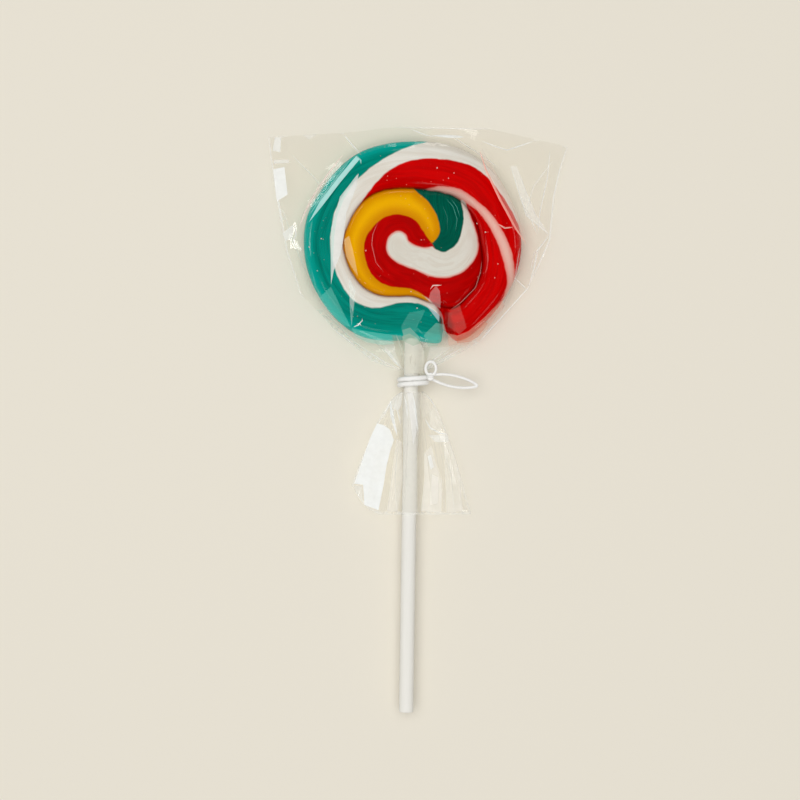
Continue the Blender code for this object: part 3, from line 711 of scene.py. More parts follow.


# What colour the painted sheen on a fold takes from the sugar beneath it
ICE, AQUA, BLUSH = (0.95, 0.985, 1.0), (0.27, 0.92, 0.8), (1.0, 0.68, 0.58)
PALE_AQUA, PALE_ROSE, GREY_WHITE = (0.62, 1.0, 0.98), (1.0, 0.8, 0.76), (0.82, 0.84, 0.83)
GREY_TEAL, BUTTER, MIST = (0.66, 0.82, 0.78), (1.0, 0.95, 0.6), (0.82, 0.91, 0.88)
SEA, ROSE, PALE_BLUE = (0.5, 0.95, 0.8), (1.0, 0.62, 0.6), (0.82, 0.9, 1.0)
CORAL, SALMON, BRICK = (1.0, 0.5, 0.44), (1.0, 0.55, 0.4), (0.86, 0.33, 0.2)
WARM_CORAL, PALE_SALMON, DEEP_SEA = (1.0, 0.5, 0.42), (1.0, 0.8, 0.74), (0.34, 0.62, 0.52)
MOSS, PUTTY, OLIVE = (0.5, 0.6, 0.47), (0.715, 0.7, 0.61), (0.6, 0.58, 0.46)
PALE_MOSS, PALE_PUTTY, STONE = (0.8, 0.82, 0.7), (0.8, 0.8, 0.74), (0.73, 0.72, 0.67)
PALE_GREY, CREAM, PALE_CREAM = (0.84, 0.84, 0.84), (1.0, 0.985, 0.93), (1.0, 0.99, 0.95)
MILK_WHITE, SOFT_CREAM = (1.0, 0.99, 0.96), (1.0, 0.985, 0.94)


def ribbon(points, width, lift=0.25, sheen_and_haze=0.5, tint=ICE):
    """A crease: a narrow strip along a path, pinched to its ends, with its middle raised; its white is
    painted sheen and haze.
    """
    run = even_run(points, CREASE_STEP)
    left, right = [], []
    for k, here in enumerate(run):
        along = (run[min(k + 1, len(run) - 1)] - run[max(k - 1, 0)]).normalized()
        across = Vector((-along.y, along.x))
        share = k / (len(run) - 1)
        half = width / 2 * math.sin(math.pi * share) ** 0.5
        left.append(here + across * half)
        right.append(here - across * half)
    edge = [run[0], *left[1:-1], run[-1], *right[-2:0:-1]]
    return {"edge": edge, "ridge": run, "lift": lift, "sheen_and_haze": sheen_and_haze, "tint": tint, "flat": False}


def facet(points, sheen_and_haze, tint=ICE, flat=False):
    """A patch of film between creases. Its white, painted sheen and haze, is how much light it throws back. A
    flat one is a plane.
    """
    edge = even_run(points, EDGE_STEP, closed=True)
    return {"edge": edge, "ridge": [], "lift": 0.0, "sheen_and_haze": sheen_and_haze, "tint": tint, "flat": flat}


# over the candy the folds' white is painted sheen, tinted by the sugar beneath
OVER_CANDY = [
    # over the teal side
    facet([(-17.6, 27.2), (-16.5, 26.1), (-22.5, 18.9), (-28.0, 11.7), (-32.4, 6.4), (-29.1, 12.7),
           (-23.4, 20.2)], 0.72, PALE_AQUA),
    ribbon([(-20.0, 25.2), (-26.6, 16.6), (-32.4, 8.6)], 0.4, 0.2, 0.4, PALE_AQUA),
    facet([(-20.6, 25.4), (-18.0, 27.4), (-26.0, 18.6), (-31.2, 10.9), (-34.6, 6.6), (-31.6, 12.4),
           (-26.6, 19.6)], 0.12, PALE_AQUA),
    ribbon([(-21.6, 28.0), (-26.6, 21.4), (-30.6, 15.4), (-33.2, 10.6),
            (-35.3, 5.4)], 0.7, 0.3, 0.6, PALE_SALMON),
    ribbon([(-17.6, 27.6), (-16.2, 25.8), (-16.0, 24.4)], 0.5, 0.2, 0.5, PALE_AQUA),
    facet([(-16.8, 21.6), (-17.4, 17.6), (-20.6, 9.5), (-21.4, 2.3), (-22.4, -3.6), (-24.6, -8.7),
           (-25.4, -13.0), (-25.5, -2.0), (-25.3, 4.7), (-22.6, 14.4), (-19.4, 18.4)], 0.78, GREY_WHITE),
    facet([(-17.2, 21.4), (-19.4, 18.4), (-22.6, 14.4), (-25.3, 4.7), (-25.5, -2.0), (-25.4, -13.0),
           (-24.8, -6.0), (-24.4, 2.0), (-23.6, 8.0), (-21.4, 13.6), (-18.9, 17.6)], 0.8, GREY_TEAL),
    facet([(-21.4, 0.9), (-19.8, 2.2), (-18.6, -2.2), (-17.0, -10.3), (-19.2, -7.2),
           (-20.7, -4.1)], 0.25, BUTTER),
    facet([(-19.9, -10.6), (-17.8, -14.6), (-18.6, -21.6), (-19.5, -19.0)], 0.38, MIST),
    facet([(-29.0, -16.9), (-25.4, -13.7), (-22.4, -20.0), (-19.2, -26.4), (-21.5, -25.5),
           (-26.0, -21.5)], 0.22, AQUA),
    facet([(-19.7, -17.6), (-17.8, -17.4), (-19.0, -26.0)], 0.16, PALE_AQUA),
    ribbon([(-19.6, -17.8), (-19.2, -22.0), (-19.0, -26.0)], 0.3, 0.15, 0.3, PALE_AQUA),
    ribbon([(-18.6, -26.3), (-16.9, -25.6), (-15.8, -24.2)], 0.42, 0.15, 0.95),
    ribbon([(-17.5, -25.0), (-16.4, -25.3), (-15.9, -26.0)], 0.3, 0.1, 0.8),
    ribbon([(-16.4, -25.3), (-15.6, -24.2), (-15.8, -23.4)], 0.25, 0.1, 0.6),
    facet([(-19.0, -26.6), (-14.0, -27.6), (-8.0, -28.5), (-3.3, -28.8), (-3.5, -31.2), (-9.0, -31.8),
           (-14.0, -31.0), (-18.0, -29.0)], 0.26, AQUA),
    ribbon([(-31.6, -8.0), (-30.2, -13.6), (-26.6, -20.0), (-21.6, -26.0)], 0.4, 0.15, 0.22, AQUA),
    # round the notch
    facet([(-3.5, -25.9), (-1.1, -21.8), (3.9, -20.9), (0.2, -28.3), (-3.2, -28.2)], 0.13, AQUA),
    ribbon([(3.9, -21.0), (2.0, -24.6), (0.2, -28.3)], 0.3, 0.1, 0.2, AQUA),
    ribbon([(0.1, -28.4), (1.6, -26.6), (3.2, -28.6)], 0.3, 0.1, 0.3, AQUA),
    facet([(3.5, -28.8), (7.3, -25.0), (9.9, -25.4), (10.6, -28.3), (7.8, -32.0), (4.9, -32.2)], 0.2, SEA),
    facet([(5.6, -15.4), (7.3, -13.4), (8.5, -14.9), (8.8, -18.3), (8.6, -20.5), (4.9, -18.3)], 0.24, ROSE),
    facet([(4.4, -19.0), (8.4, -22.6), (8.3, -24.7), (4.8, -20.2)], 0.4, PALE_BLUE),
    ribbon([(5.4, -14.6), (6.4, -13.3), (9.2, -13.2)], 0.4, 0.2, 0.75, PALE_ROSE),
    # over the red side
    ribbon([(21.6, -5.5), (21.2, -9.0), (19.7, -13.9), (15.4, -18.3),
            (11.1, -21.6)], 0.26, 0.1, 0.34, CORAL),
    facet([(11.1, -21.9), (14.7, -19.2), (16.9, -26.4), (14.6, -28.5), (11.0, -26.0)], 0.07, BLUSH),
    facet([(10.9, -28.2), (14.0, -28.9), (17.5, -27.5), (22.5, -23.2), (27.6, -18.0), (29.0, -19.4),
           (23.6, -26.6), (17.4, -31.6), (11.3, -32.0)], 0.3, SALMON),
    facet([(13.6, -30.0), (17.0, -29.2), (19.6, -27.6), (22.8, -24.4), (23.6, -25.2), (20.6, -29.2),
           (17.8, -30.8), (14.0, -31.2)], 0.5, BRICK),
    ribbon([(21.1, 29.0), (22.8, 23.1), (27.3, 13.7), (32.2, 4.6),
            (35.6, -0.2)], 0.75, 0.2, 0.74, WARM_CORAL),
    facet([(21.4, 28.6), (24.8, 24.2), (28.8, 17.6), (32.6, 10.2), (34.9, 3.0), (35.4, 0.2),
           (32.1, 4.7), (28.4, 12.8), (24.0, 21.9)], 0.2, BLUSH),
    ribbon([(26.4, 6.0), (28.8, 4.6), (31.4, 4.9)], 0.5, 0.15, 0.6, BLUSH),
    ribbon([(33.5, -1.1), (32.1, -10.6), (31.9, -14.6)], 0.4, 0.15, 0.3, PALE_ROSE),
    ribbon([(31.8, -10.8), (33.9, -12.4), (36.2, -14.4)], 0.35, 0.2, 0.5),
    facet([(19.6, 28.2), (23.4, 25.0), (28.4, 15.4), (24.6, 24.6), (22.0, 29.6)], 0.1, PALE_ROSE),
    # over the inner coil
    ribbon([(-10.6, 7.0), (-12.4, 2.6), (-12.7, -0.6), (-11.4, -6.2),
            (-8.9, -9.2)], 0.2, 0.05, 0.22, PALE_ROSE),
    ribbon([(10.2, 14.0), (12.6, 11.4), (13.9, 7.4), (13.4, 3.4)], 0.2, 0.05, 0.24, AQUA),
    ribbon([(12.0, 13.8), (13.8, 11.2), (14.8, 8.0)], 0.2, 0.05, 0.24, AQUA),
    ribbon([(9.4, 11.6), (10.8, 8.2), (10.9, 4.0)], 0.2, 0.05, 0.12, AQUA),
    ribbon([(15.6, -7.6), (17.4, -5.8), (18.3, -3.6)], 0.5, 0.05, 0.12, BLUSH),
]
for fold in OVER_CANDY:
    for part in ("edge", "ridge"):
        fold[part] = [Vector(place) for place in on_face(fold[part])]
FRONT_FOLDS = OVER_CANDY + [
    # between the candy and the bag's edge
    ribbon([(21.2, 31.7), (25.5, 30.0), (29.5, 28.8), (33.5, 30.2), (38.0, 31.8)], 0.42, 0.3, 0.6),
    ribbon([(6.0, 33.2), (10.5, 33.0), (16.2, 32.8)], 1.0, 0.35, 0.75),
    ribbon([(-0.8, 35.6), (4.4, 33.2), (7.6, 32.6)], 0.4, 0.3, 0.55),
    facet([(30.4, 23.7), (33.2, 15.0), (35.3, 8.4), (42.6, 2.5), (38.2, 8.7), (35.1, 16.2),
           (32.3, 23.7)], 0.26),
    ribbon([(30.4, 23.7), (33.2, 15.0), (35.3, 8.4), (42.6, 2.5)], 0.4, 0.35, 0.5),
    ribbon([(32.3, 23.7), (35.1, 16.2), (38.2, 8.7), (42.6, 2.5)], 0.3, 0.35, 0.4),
    ribbon([(42.8, 2.7), (39.0, -2.4), (37.7, -8.8), (36.2, -13.6)], 0.5, 0.3, 0.42),
    ribbon([(41.0, -0.2), (37.8, -3.4), (36.8, -9.0)], 0.3, 0.3, 0.3),
    ribbon([(42.9, 29.0), (42.0, 20.0), (39.6, 9.0), (38.9, 2.4)], 0.4, 0.3, 0.42),
    ribbon([(38.9, 2.4), (36.0, 9.0), (33.0, 14.5)], 0.4, 0.3, 0.3),
    ribbon([(-21.5, 33.9), (-18.5, 30.0), (-16.2, 27.2)], 0.5, 0.3, 0.45),
    facet([(-42.9, 33.0), (-41.0, 32.8), (-41.2, 28.2), (-43.6, 28.8)], 0.5, flat=True),
    facet([(-43.4, 23.0), (-39.9, 23.6), (-38.9, 15.0), (-42.4, 12.9)], 0.8, flat=True),
    facet([(-43.3, 25.8), (-38.6, 25.9), (-38.4, 24.9), (-43.3, 24.7)], 0.35, flat=True),
    facet([(-40.6, 3.1), (-37.0, 5.6), (-37.4, 1.4), (-39.6, 0.6)], 0.5, flat=True),
    ribbon([(-36.8, 5.6), (-36.2, 2.4), (-37.6, -0.6)], 0.5, 0.2, 0.5),
    ribbon([(-29.6, -22.0), (-24.0, -27.6), (-18.0, -31.6)], 0.6, 0.25, 0.35),
    ribbon([(-8.9, -32.4), (-6.6, -35.4), (-4.2, -38.6)], 1.1, 0.4, 0.4),
    ribbon([(-14.0, -33.6), (-9.0, -37.0), (-4.0, -39.4)], 0.5, 0.3, 0.3),
    ribbon([(1.2, -34.4), (0.8, -37.4), (0.8, -40.6)], 0.5, 0.3, 0.3),
    ribbon([(9.6, -34.0), (6.0, -37.0), (3.4, -39.6)], 0.6, 0.35, 0.35),
    ribbon([(17.0, -32.0), (10.0, -35.8), (4.2, -39.2)], 0.4, 0.3, 0.3),
    facet([(-3.2, -27.4), (-0.8, -26.6), (2.0, -29.4), (2.6, -31.6), (0.2, -32.4),
           (-2.4, -31.2)], 0.5, DEEP_SEA),
    facet([(-3.2, -29.2), (-1.0, -28.4), (1.4, -29.8), (2.9, -31.8), (1.6, -34.6), (-0.6, -33.4),
           (-2.5, -34.8)], 0.62, MOSS),
    facet([(-2.4, -31.0), (0.2, -32.2), (2.4, -31.4), (3.6, -33.6), (3.7, -37.0), (3.1, -40.8),
           (-2.4, -40.8), (-2.6, -36.0)], 0.72, PUTTY),
    facet([(-6.4, -28.8), (-2.6, -29.6), (-2.7, -33.6), (-3.4, -38.8), (-5.2, -34.6)], 0.3, OLIVE),
    ribbon([(-5.2, -28.6), (-3.6, -32.6), (-2.8, -37.0)], 0.5, 0.3, 0.4, PALE_MOSS),
    ribbon([(0.6, -33.0), (-0.6, -36.0), (-0.9, -40.6)], 0.5, 0.3, 0.5, PALE_PUTTY),
    facet([(-8.6, -32.0), (-5.6, -31.8), (-3.4, -36.2), (-3.6, -39.6), (-6.4, -36.4)], 0.14),
    facet([(5.4, -32.4), (12.0, -32.6), (8.4, -35.4), (4.4, -36.8)], 0.18),
    # along the bag's edges
    ribbon([(36.8, -13.2), (28.6, -22.4), (20.9, -30.7)], 0.42, 0.3, 0.62),
    ribbon([(48.0, 29.6), (45.8, 22.6), (44.0, 14.4), (42.7, 0.9), (39.4, -6.6),
            (36.1, -13.4)], 0.34, 0.3, 0.42),
    ribbon([(-44.6, 32.9), (-44.1, 27.0), (-42.7, 18.1), (-39.0, -2.6), (-34.8, -15.4)], 0.32, 0.3, 0.42),
    ribbon([(-3.9, 35.9), (8.8, 35.8), (22.4, 35.4)], 0.3, 0.2, 0.3),
    # the skirt
    facet([(-11.3, -56.2), (-9.0, -56.8), (-7.0, -58.2), (-5.8, -61.4), (-7.0, -65.0), (-8.1, -69.5),
           (-9.0, -75.4), (-10.6, -83.2), (-15.0, -81.6), (-15.4, -75.4), (-18.2, -75.1),
           (-15.6, -67.7), (-13.4, -61.4)], 0.88, flat=True),
    facet([(-18.2, -75.6), (-15.7, -75.7), (-15.4, -81.0), (-17.2, -79.0)], 0.3),
    facet([(-3.2, -46.6), (2.4, -46.6), (2.2, -56.0), (1.4, -66.0), (1.6, -84.0), (-3.2, -84.0),
           (-3.0, -64.0)], 0.4, STONE),
    facet([(-1.6, -46.8), (0.0, -46.6), (0.9, -52.0), (1.2, -59.0), (0.2, -63.0),
           (-0.6, -56.0)], 0.6, PALE_GREY),
    facet([(-5.6, -46.9), (-3.2, -46.6), (-3.4, -50.4), (-4.6, -52.6), (-6.6, -50.8)], 0.4),
    facet([(1.8, -46.6), (4.0, -47.2), (6.2, -52.4), (3.4, -54.6), (2.4, -50.4)], 0.2, CREAM),
    facet([(6.6, -50.4), (9.4, -54.6), (8.8, -59.0), (5.6, -57.4), (5.2, -53.2)], 0.3, PALE_CREAM),
    facet([(-5.0, -61.0), (-3.4, -62.0), (-3.2, -74.0), (-4.6, -83.6), (-8.0, -83.6),
           (-6.4, -72.0)], 0.3, MILK_WHITE),
    facet([(9.6, -62.6), (12.4, -61.6), (14.6, -70.6), (15.6, -83.6), (10.6, -83.8),
           (10.2, -73.0)], 0.3, PALE_CREAM),
    ribbon([(-7.0, -48.7), (-6.4, -54.1), (-4.7, -60.2)], 0.9, 0.5, 0.8),
    ribbon([(-5.6, -48.4), (-3.6, -56.8)], 0.5, 0.4, 0.5),
    ribbon([(-3.9, -46.9), (-7.2, -50.4), (-9.4, -55.0)], 0.5, 0.35, 0.5),
    ribbon([(-4.4, -47.2), (-6.0, -52.6), (-5.4, -58.4)], 0.35, 0.35, 0.55),
    ribbon([(4.6, -47.6), (7.4, -50.4), (10.6, -56.0), (14.2, -65.0)], 0.35, 0.35, 0.45),
    ribbon([(-9.4, -51.0), (-10.6, -55.6)], 0.5, 0.3, 0.4),
    ribbon([(4.2, -47.0), (8.2, -52.4), (11.9, -57.7), (15.9, -65.0)], 0.45, 0.4, 0.6),
    ribbon([(5.6, -48.0), (9.0, -51.6), (12.3, -55.6)], 0.4, 0.35, 0.45),
    ribbon([(3.7, -54.6), (5.5, -57.7), (8.7, -59.4), (11.6, -59.8)], 0.5, 0.4, 0.7),
    facet([(5.0, -59.9), (11.4, -60.0), (11.0, -62.2), (7.0, -62.0)], 0.42),
    ribbon([(0.2, -47.6), (1.0, -53.0), (1.6, -58.9)], 0.55, 0.4, 0.7),
    ribbon([(-2.6, -47.4), (-1.8, -51.0), (-1.6, -54.8)], 0.4, 0.35, 0.6),
    facet([(3.6, -65.6), (5.8, -63.2), (7.4, -69.2), (9.2, -74.1), (8.9, -83.9), (2.6, -83.4),
           (3.6, -74.1)], 0.46, CREAM),
    facet([(4.6, -66.4), (5.7, -66.0), (6.6, -69.8), (5.6, -70.6)], 0.7),
    facet([(6.0, -72.0), (8.0, -73.0), (7.8, -81.0), (5.4, -81.6)], 0.62, SOFT_CREAM),
    ribbon([(13.8, -71.0), (15.9, -67.6), (16.7, -74.0)], 0.35, 0.3, 0.4),
    ribbon([(9.6, -64.0), (12.0, -72.0), (13.0, -83.6)], 0.4, 0.35, 0.35),
    ribbon([(-4.4, -62.0), (-5.4, -72.0), (-5.0, -83.6)], 0.4, 0.35, 0.4),
]
for k in range(1, SKIRT_PLEATS):
    turn = math.pi * k / SKIRT_PLEATS
    begins, ends = (0.03, 0.99) if k % 3 else (0.2, 0.8)
    pleat = [skirt_place(turn, begins + (ends - begins) * s / 6) for s in range(7)]
    FRONT_FOLDS.append(ribbon(pleat, 0.3, 0.3, 0.14))

BACK_FOLDS = [
    ribbon([(-38.0, 28.0), (-30.0, 20.0), (-27.0, 12.0)], 0.5, -0.3, 0.25),
    ribbon([(12.0, 33.8), (20.0, 29.0), (27.0, 24.0)], 0.4, -0.3, 0.3),
    ribbon([(44.0, 26.0), (38.0, 18.0), (35.0, 8.0)], 0.5, -0.3, 0.25),
    ribbon([(-41.0, 12.0), (-37.0, 0.0), (-33.0, -10.0)], 0.4, -0.3, 0.25),
    ribbon([(34.0, -8.0), (28.0, -20.0), (20.0, -29.0)], 0.4, -0.3, 0.25),
    ribbon([(-28.0, -21.0), (-18.0, -31.0), (-8.0, -38.0)], 0.5, -0.3, 0.25),
    ribbon([(-12.0, -30.5), (-6.0, -36.0), (-2.0, -40.5)], 0.6, -0.3, 0.25),
    ribbon([(14.0, -32.0), (7.0, -37.0), (2.0, -40.5)], 0.6, -0.3, 0.25),
]
for k in range(1, SKIRT_PLEATS):
    turn = math.pi * (k + 0.35) / SKIRT_PLEATS
    pleat = [skirt_place(turn, 0.04 + 0.94 * s / 6) for s in range(7)]
    BACK_FOLDS.append(ribbon(pleat, 0.3, -0.3, 0.12))

left_edge = [skirt_place(math.pi, s / 14) for s in range(0, 15)]
hem = [skirt_place(math.pi * (1 - s / 40), 1.0) for s in range(1, 40)]
right_edge = [skirt_place(0.0, 1 - s / 14) for s in range(0, 15)]
film_outline = even_run(list(BAG_CORNERS) + left_edge + hem + right_edge, OUTLINE_STEP, closed=True)

# Between the creases the film is a loose net of corners. A corner keeps these shares of the net's
# spacing away from the outline and from creases, and is shifted by up to the third at random.
NET_OFF_OUTLINE, NET_OFF_CREASE, NET_SHIFT = 0.4, 0.3, 0.32
NET_ACROSS, NET_DOWN = (-50, 51), (-86, 40)
# white on the sealed edge is the seal's double film and painted sheen; on the skirt, haze
SEAL_SHEEN_AND_HAZE, SKIRT_MILK = 0.2, 0.03
FILM_SHARP = 24           # creases sharper than this many degrees stay sharp


def film_net(folds, spacing, seed):
    """Places, triangles and lifts of a sheet laid out flat, with its outline and folds as edges."""
    places, lifts, edges = [], [], []

    def add_path(points, closed, lift=0.0):
        """A crease's ridge stands up most in its middle."""
        first, count = len(places), len(points)
        for k, point in enumerate(points):
            places.append(Vector(point[:2]))
            lifts.append(lift * math.sin(math.pi * k / max(count - 1, 1)))
        for k in range(count if closed else count - 1):
            edges.append((first + k, first + (k + 1) % count))

    add_path(film_outline, True)
    for fold in folds:
        add_path(fold["edge"], True)
        if fold["ridge"]:
            add_path(fold["ridge"][1:-1], False, fold["lift"])
    ends = np.array([[(*places[a], *places[b])] for a, b in edges]).reshape(-1, 4)
    run = ends[:, 2:] - ends[:, :2]
    rng = np.random.default_rng(seed)
    across, down = np.arange(*NET_ACROSS, spacing), np.arange(*NET_DOWN, spacing)
    grid = np.array([(x + 0.5 * spacing * (row % 2), y) for row, y in enumerate(down) for x in across])
    grid += rng.uniform(-NET_SHIFT, NET_SHIFT, grid.shape) * spacing
    grid = grid[depth_inside([tuple(p) for p in film_outline], grid) > NET_OFF_OUTLINE * spacing]
    for x, y in grid:
        share = ((x - ends[:, 0]) * run[:, 0] + (y - ends[:, 1]) * run[:, 1]) / (run ** 2).sum(axis=1)
        share = np.clip(share, 0, 1)
        gap = np.hypot(ends[:, 0] + share * run[:, 0] - x, ends[:, 1] + share * run[:, 1] - y)
        if gap.min() > NET_OFF_CREASE * spacing:
            places.append(Vector((x, y)))
            lifts.append(0.0)
    found = geometry.delaunay_2d_cdt(places, edges, [], 0, 1e-4)
    flat, triangles, sources = found[0], found[2], found[3]
    return flat, triangles, [max((lifts[s] for s in source), key=abs, default=0.0) for source in sources]


def flat_levels(side, folds, flat):
    """Heights of the places in flat facets, each the plane that fits its edge best, else no number."""
    places = np.array([tuple(p) for p in flat])
    levels = np.full(len(flat), np.nan)
    for fold in folds:
        if fold["flat"]:
            rows = [(*p, 1.0) for p in fold["edge"]]
            sheets = [film_middle_and_half(*p) for p in fold["edge"]]
            heights = [middle + side * half for middle, half in sheets]
            plane = np.linalg.lstsq(np.array(rows), np.array(heights), rcond=None)[0]
            within = depth_inside([tuple(p) for p in fold["edge"]], places) > -0.02
            levels = np.where(within, places @ plane[:2] + plane[2], levels)
    return levels


def film_sheet(side, folds, spacing, seed):
    """Corners, triangles and each triangle's share of painted sheen and haze, and tint, of the front (1) or
    the back sheet (-1).
    """
    flat, triangles, lifts = film_net(folds, spacing, seed)
    raised = []
    for (x, y), lift, level in zip(flat, lifts, flat_levels(side, folds, flat)):
        middle, half = film_middle_and_half(x, y)
        over_candy = math.hypot(x, y) < clock_radius(OUTLINE_RADII, math.atan2(y, x)) - 1
        wave = 0.0
        for size, start, beside, over in FILM_WAVES:
            wave += noise.noise(Vector((x / size, y / size, start * side))) * (over if over_candy else beside)
        loose = (wave + lift) * min(half / WAVES_FADE, 1.0)
        if side > 0:
            height = middle + half + loose
        else:
            height = max(middle - half + (0.0 if over_candy else loose), FILM_UNDER_CANDY)
        if not math.isnan(level):
            height = level
        raised.append((x, y, min(height, FILM_HIGHEST)))
    centres = np.array([sum((flat[c] for c in t), Vector((0, 0))) / len(t) for t in triangles])
    inside = depth_inside([tuple(p) for p in film_outline], centres)
    sheen_and_haze = np.where(centres[:, 1] < SKIRT_Y, SKIRT_MILK, 0.0)
    sheen_and_haze = np.where(inside < SEAL_WIDTH, SEAL_SHEEN_AND_HAZE, sheen_and_haze)
    tint = np.tile(ICE, (len(triangles), 1))
    for fold in folds:
        covered = depth_inside([tuple(p) for p in fold["edge"]], centres) > 0
        wins = covered & (fold["sheen_and_haze"] >= sheen_and_haze)
        sheen_and_haze = np.where(wins, fold["sheen_and_haze"], sheen_and_haze)
        tint = np.where(wins[:, None], fold["tint"], tint)
    kept = [k for k in range(len(triangles)) if inside[k] > 0]
    return raised, [tuple(triangles[k])[::side] for k in kept], sheen_and_haze[kept], tint[kept]


front_corners, front_faces, front_sheen_and_haze, front_tint = film_sheet(1, FRONT_FOLDS, spacing=3.4, seed=7)
back_corners, back_faces, back_sheen_and_haze, back_tint = film_sheet(-1, BACK_FOLDS, spacing=4.2, seed=11)
shift = len(front_corners)
film_faces = front_faces + [tuple(c + shift for c in f) for f in back_faces]
film = add_object("film_bag", front_corners + back_corners, film_faces, FILM_SHARP)
sheen_and_haze_data = np.concatenate([front_sheen_and_haze, back_sheen_and_haze]).astype(np.float32)
tint_data = np.concatenate([front_tint, back_tint]).astype(np.float32)
film.data.attributes.new("sheen_and_haze", "FLOAT", "FACE").data.foreach_set("value", sheen_and_haze_data)
film.data.attributes.new("tint", "FLOAT_VECTOR", "FACE").data.foreach_set("vector", tint_data.ravel())

GLOSS_HEAD_ON, GLOSS_GRAZING, GLOSS_POWER = 0.022, 0.6, 5.0
SHADOW_LET_BY = 0.8       # share of the shadow rays that pass: film this thin throws next to no shadow

material, tree = new_material("clear film")
clear = node(tree, "BsdfTransparent", {"Color": (0.994, 0.991, 0.982, 1.0)})
gloss = node(tree, "BsdfAnisotropic", {"Color": (1.0, 1.0, 1.0, 1.0), "Roughness": 0.05})
edge_on = node(tree, "LayerWeight", {"Blend": 0.5}).outputs["Facing"]
steep = node(tree, "Math", {0: edge_on, 1: GLOSS_POWER}, operation="POWER")
sockets = {0: steep, 1: GLOSS_GRAZING, 2: GLOSS_HEAD_ON}
shine = node(tree, "Math", sockets, operation="MULTIPLY_ADD", use_clamp=True)
shiny = node(tree, "MixShader", {0: shine, 1: clear, 2: gloss})
tint_in = node(tree, "Attribute", attribute_name="tint").outputs["Vector"]
sheen_and_haze_in = node(tree, "Attribute", attribute_name="sheen_and_haze").outputs["Fac"]
place_in = node(tree, "TexCoord").outputs["Object"]
uneven = node(tree, "TexNoise", {"Vector": place_in, "Scale": 260.0, "Detail": 3.0}).outputs["Fac"]
uneven = node(tree, "MapRange", {"Value": uneven, "To Min": 0.72, "To Max": 1.12}).outputs["Result"]
# the white diffuse share stands for painted sheen on the folds and haze in the film
sheen_and_haze_share = node(tree, "Math", {0: sheen_and_haze_in, 1: uneven, 2: 0.0}, operation="MULTIPLY_ADD", use_clamp=True)
skin = node(tree, "MixShader", {0: sheen_and_haze_share, 1: shiny, 2: node(tree, "BsdfDiffuse", {"Color": tint_in})})
shadow_ray = node(tree, "LightPath").outputs["Is Shadow Ray"]
cover(film, material, node(tree, "MixShader", {0: multiplied(shadow_ray, SHADOW_LET_BY), 1: skin, 2: clear}))
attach(film, "root")
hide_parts("wrapper")

# The tie.
# A white covered elastic cord: two turns round the gathered film and the stick, knotted on the right
# of the front, with its end drawn out flat to the right as a long bow and a small loop above the knot.

CORD_RADIUS, THIN_CORD, KNOT_CORD = 0.76, 0.45, 0.5
CORD_PITCH, CORD_TURNS, CORD_STEPS = 1.62, 2.0, 160
TAIL_TUCKED = 142         # the last step of the winding, under the stick
CORD_MIDDLE_X, CORD_Y, CORD_HALF_WIDTH, CORD_HALF_DEPTH = 0.2, -43.5, 4.3, 4.25
KNOT_AT = Vector((5.55, -41.8, 8.6))
KNOT_HALF_WIDTH, KNOT_HALF_HEIGHT = 0.62, 0.95
KNOT_TILTS = (0.5, 1.5, 2.5)   # of the cord's three turns in the knot, in radians
BOW_FROM_KNOT, LOOP_FROM_KNOT = Vector((7.1, -1.3, -0.75)), Vector((0.1, 2.6, 0.0))
BOW_LEAN = math.radians(-11)
tie_corners, tie_faces = [], []


def add_cord(points, radius, closed=False, sides=14):
    """Add a round cord along the points to the tie's mesh."""
    count, first = len(points), len(tie_corners)
    for k, point in enumerate(points):
        before = points[(k - 1) % count] if closed or k > 0 else point
        after = points[(k + 1) % count] if closed or k < count - 1 else point
        along = (after - before).normalized()
        across = along.cross(Vector((0.31, 0.13, 0.94))).normalized()
        up = along.cross(across)
        for s in range(sides):
            turn = TAU * s / sides
            tie_corners.append(point + radius * (math.cos(turn) * across + math.sin(turn) * up))
    for k in range(count if closed else count - 1):
        near, far = first + k * sides, first + (k + 1) % count * sides
        for s in range(sides):
            t = (s + 1) % sides
            tie_faces.append((near + s, near + t, far + t, far + s))
    if not closed:
        tie_faces.append(tuple(range(first, first + sides))[::-1])
        tie_faces.append(tuple(range(first + (count - 1) * sides, first + count * sides)))


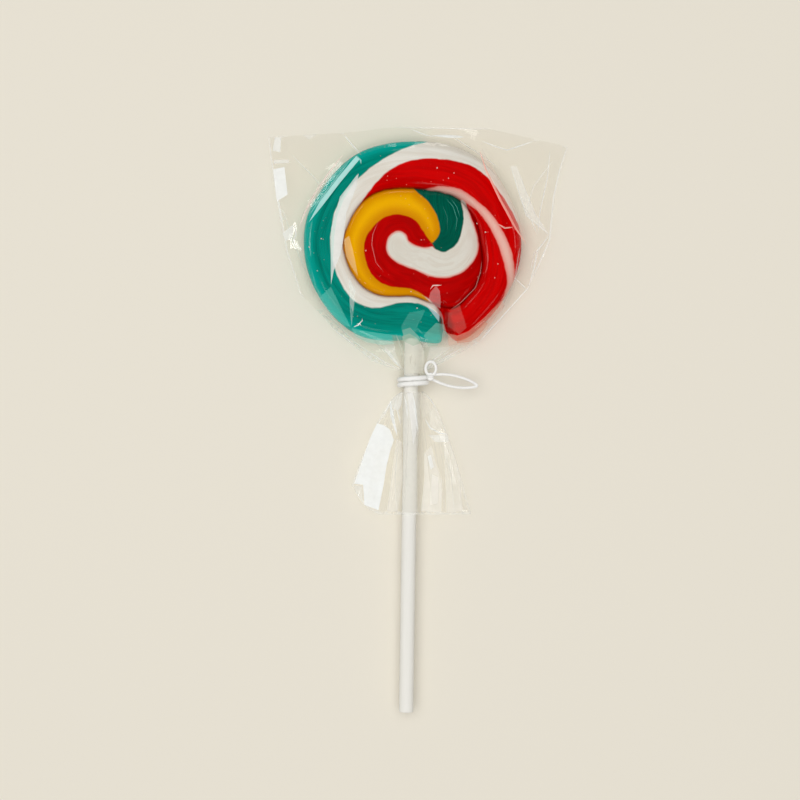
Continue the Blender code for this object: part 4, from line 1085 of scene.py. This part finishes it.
def oval(centre, half_width, half_height, lean, lift, pinch=0.0, steps=72):
    """A loop of cord flat to the face, which may pinch together towards the knot and the far end."""
    points = []
    for k in range(steps):
        turn = TAU * k / steps
        wide = half_height * math.sin(turn) * (1 - pinch * math.cos(turn) ** 2)
        flat = Matrix.Rotation(lean, 2) @ Vector((half_width * math.cos(turn), wide))
        points.append(centre + Vector((flat.x, flat.y, lift * 0.5 * (1 + math.cos(turn)))))
    return points


winding = []
for k in range(TAIL_TUCKED):
    turned = TAU * CORD_TURNS * k / CORD_STEPS
    y = CORD_Y + CORD_PITCH * (CORD_TURNS / 2 - turned / TAU)
    x = CORD_MIDDLE_X + CORD_HALF_WIDTH * math.cos(turned)
    z = STICK_HEIGHT + CORD_HALF_DEPTH * math.sin(turned)
    winding.append(Vector((x, y, z)))
lead = [KNOT_AT.lerp(winding[0], share) for share in (0.0, 0.25, 0.5, 0.75)]
add_cord(lead + winding, CORD_RADIUS)
add_cord(oval(KNOT_AT + BOW_FROM_KNOT, 7.5, 1.75, BOW_LEAN, -1.5, pinch=0.3), THIN_CORD, closed=True)
add_cord(oval(KNOT_AT + LOOP_FROM_KNOT, 1.6, 2.1, 0.0, 0.3), THIN_CORD, closed=True)
for tilt in KNOT_TILTS:
    wrap = []
    for k in range(30):
        turn = TAU * k / 30
        out = KNOT_HALF_HEIGHT * math.sin(turn)
        wrap.append(KNOT_AT + Vector((
            KNOT_HALF_WIDTH * math.cos(turn), out * math.cos(tilt), out * math.sin(tilt),
        )))
    add_cord(wrap, KNOT_CORD, closed=True, sides=10)
tie = add_object("white_tie", tie_corners, tie_faces, sharp_degrees=60)
material, tree = new_material("covered elastic")
place_in = node(tree, "TexCoord").outputs["Object"]
weave = node(tree, "TexVoronoi", {"Vector": place_in, "Scale": 2600.0}).outputs["Distance"]
cord = node(tree, "BsdfPrincipled", {
    "Base Color": painted(rgb(253, 253, 252), rgb(243, 243, 242), weave), "Roughness": 0.7,
    "Specular IOR Level": 0.2,
    "Normal": node(tree, "Bump", {"Height": weave, "Strength": 0.5, "Distance": 0.0001}),
})
cover(tie, material, cord)
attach(tie, "root")
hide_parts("tie")
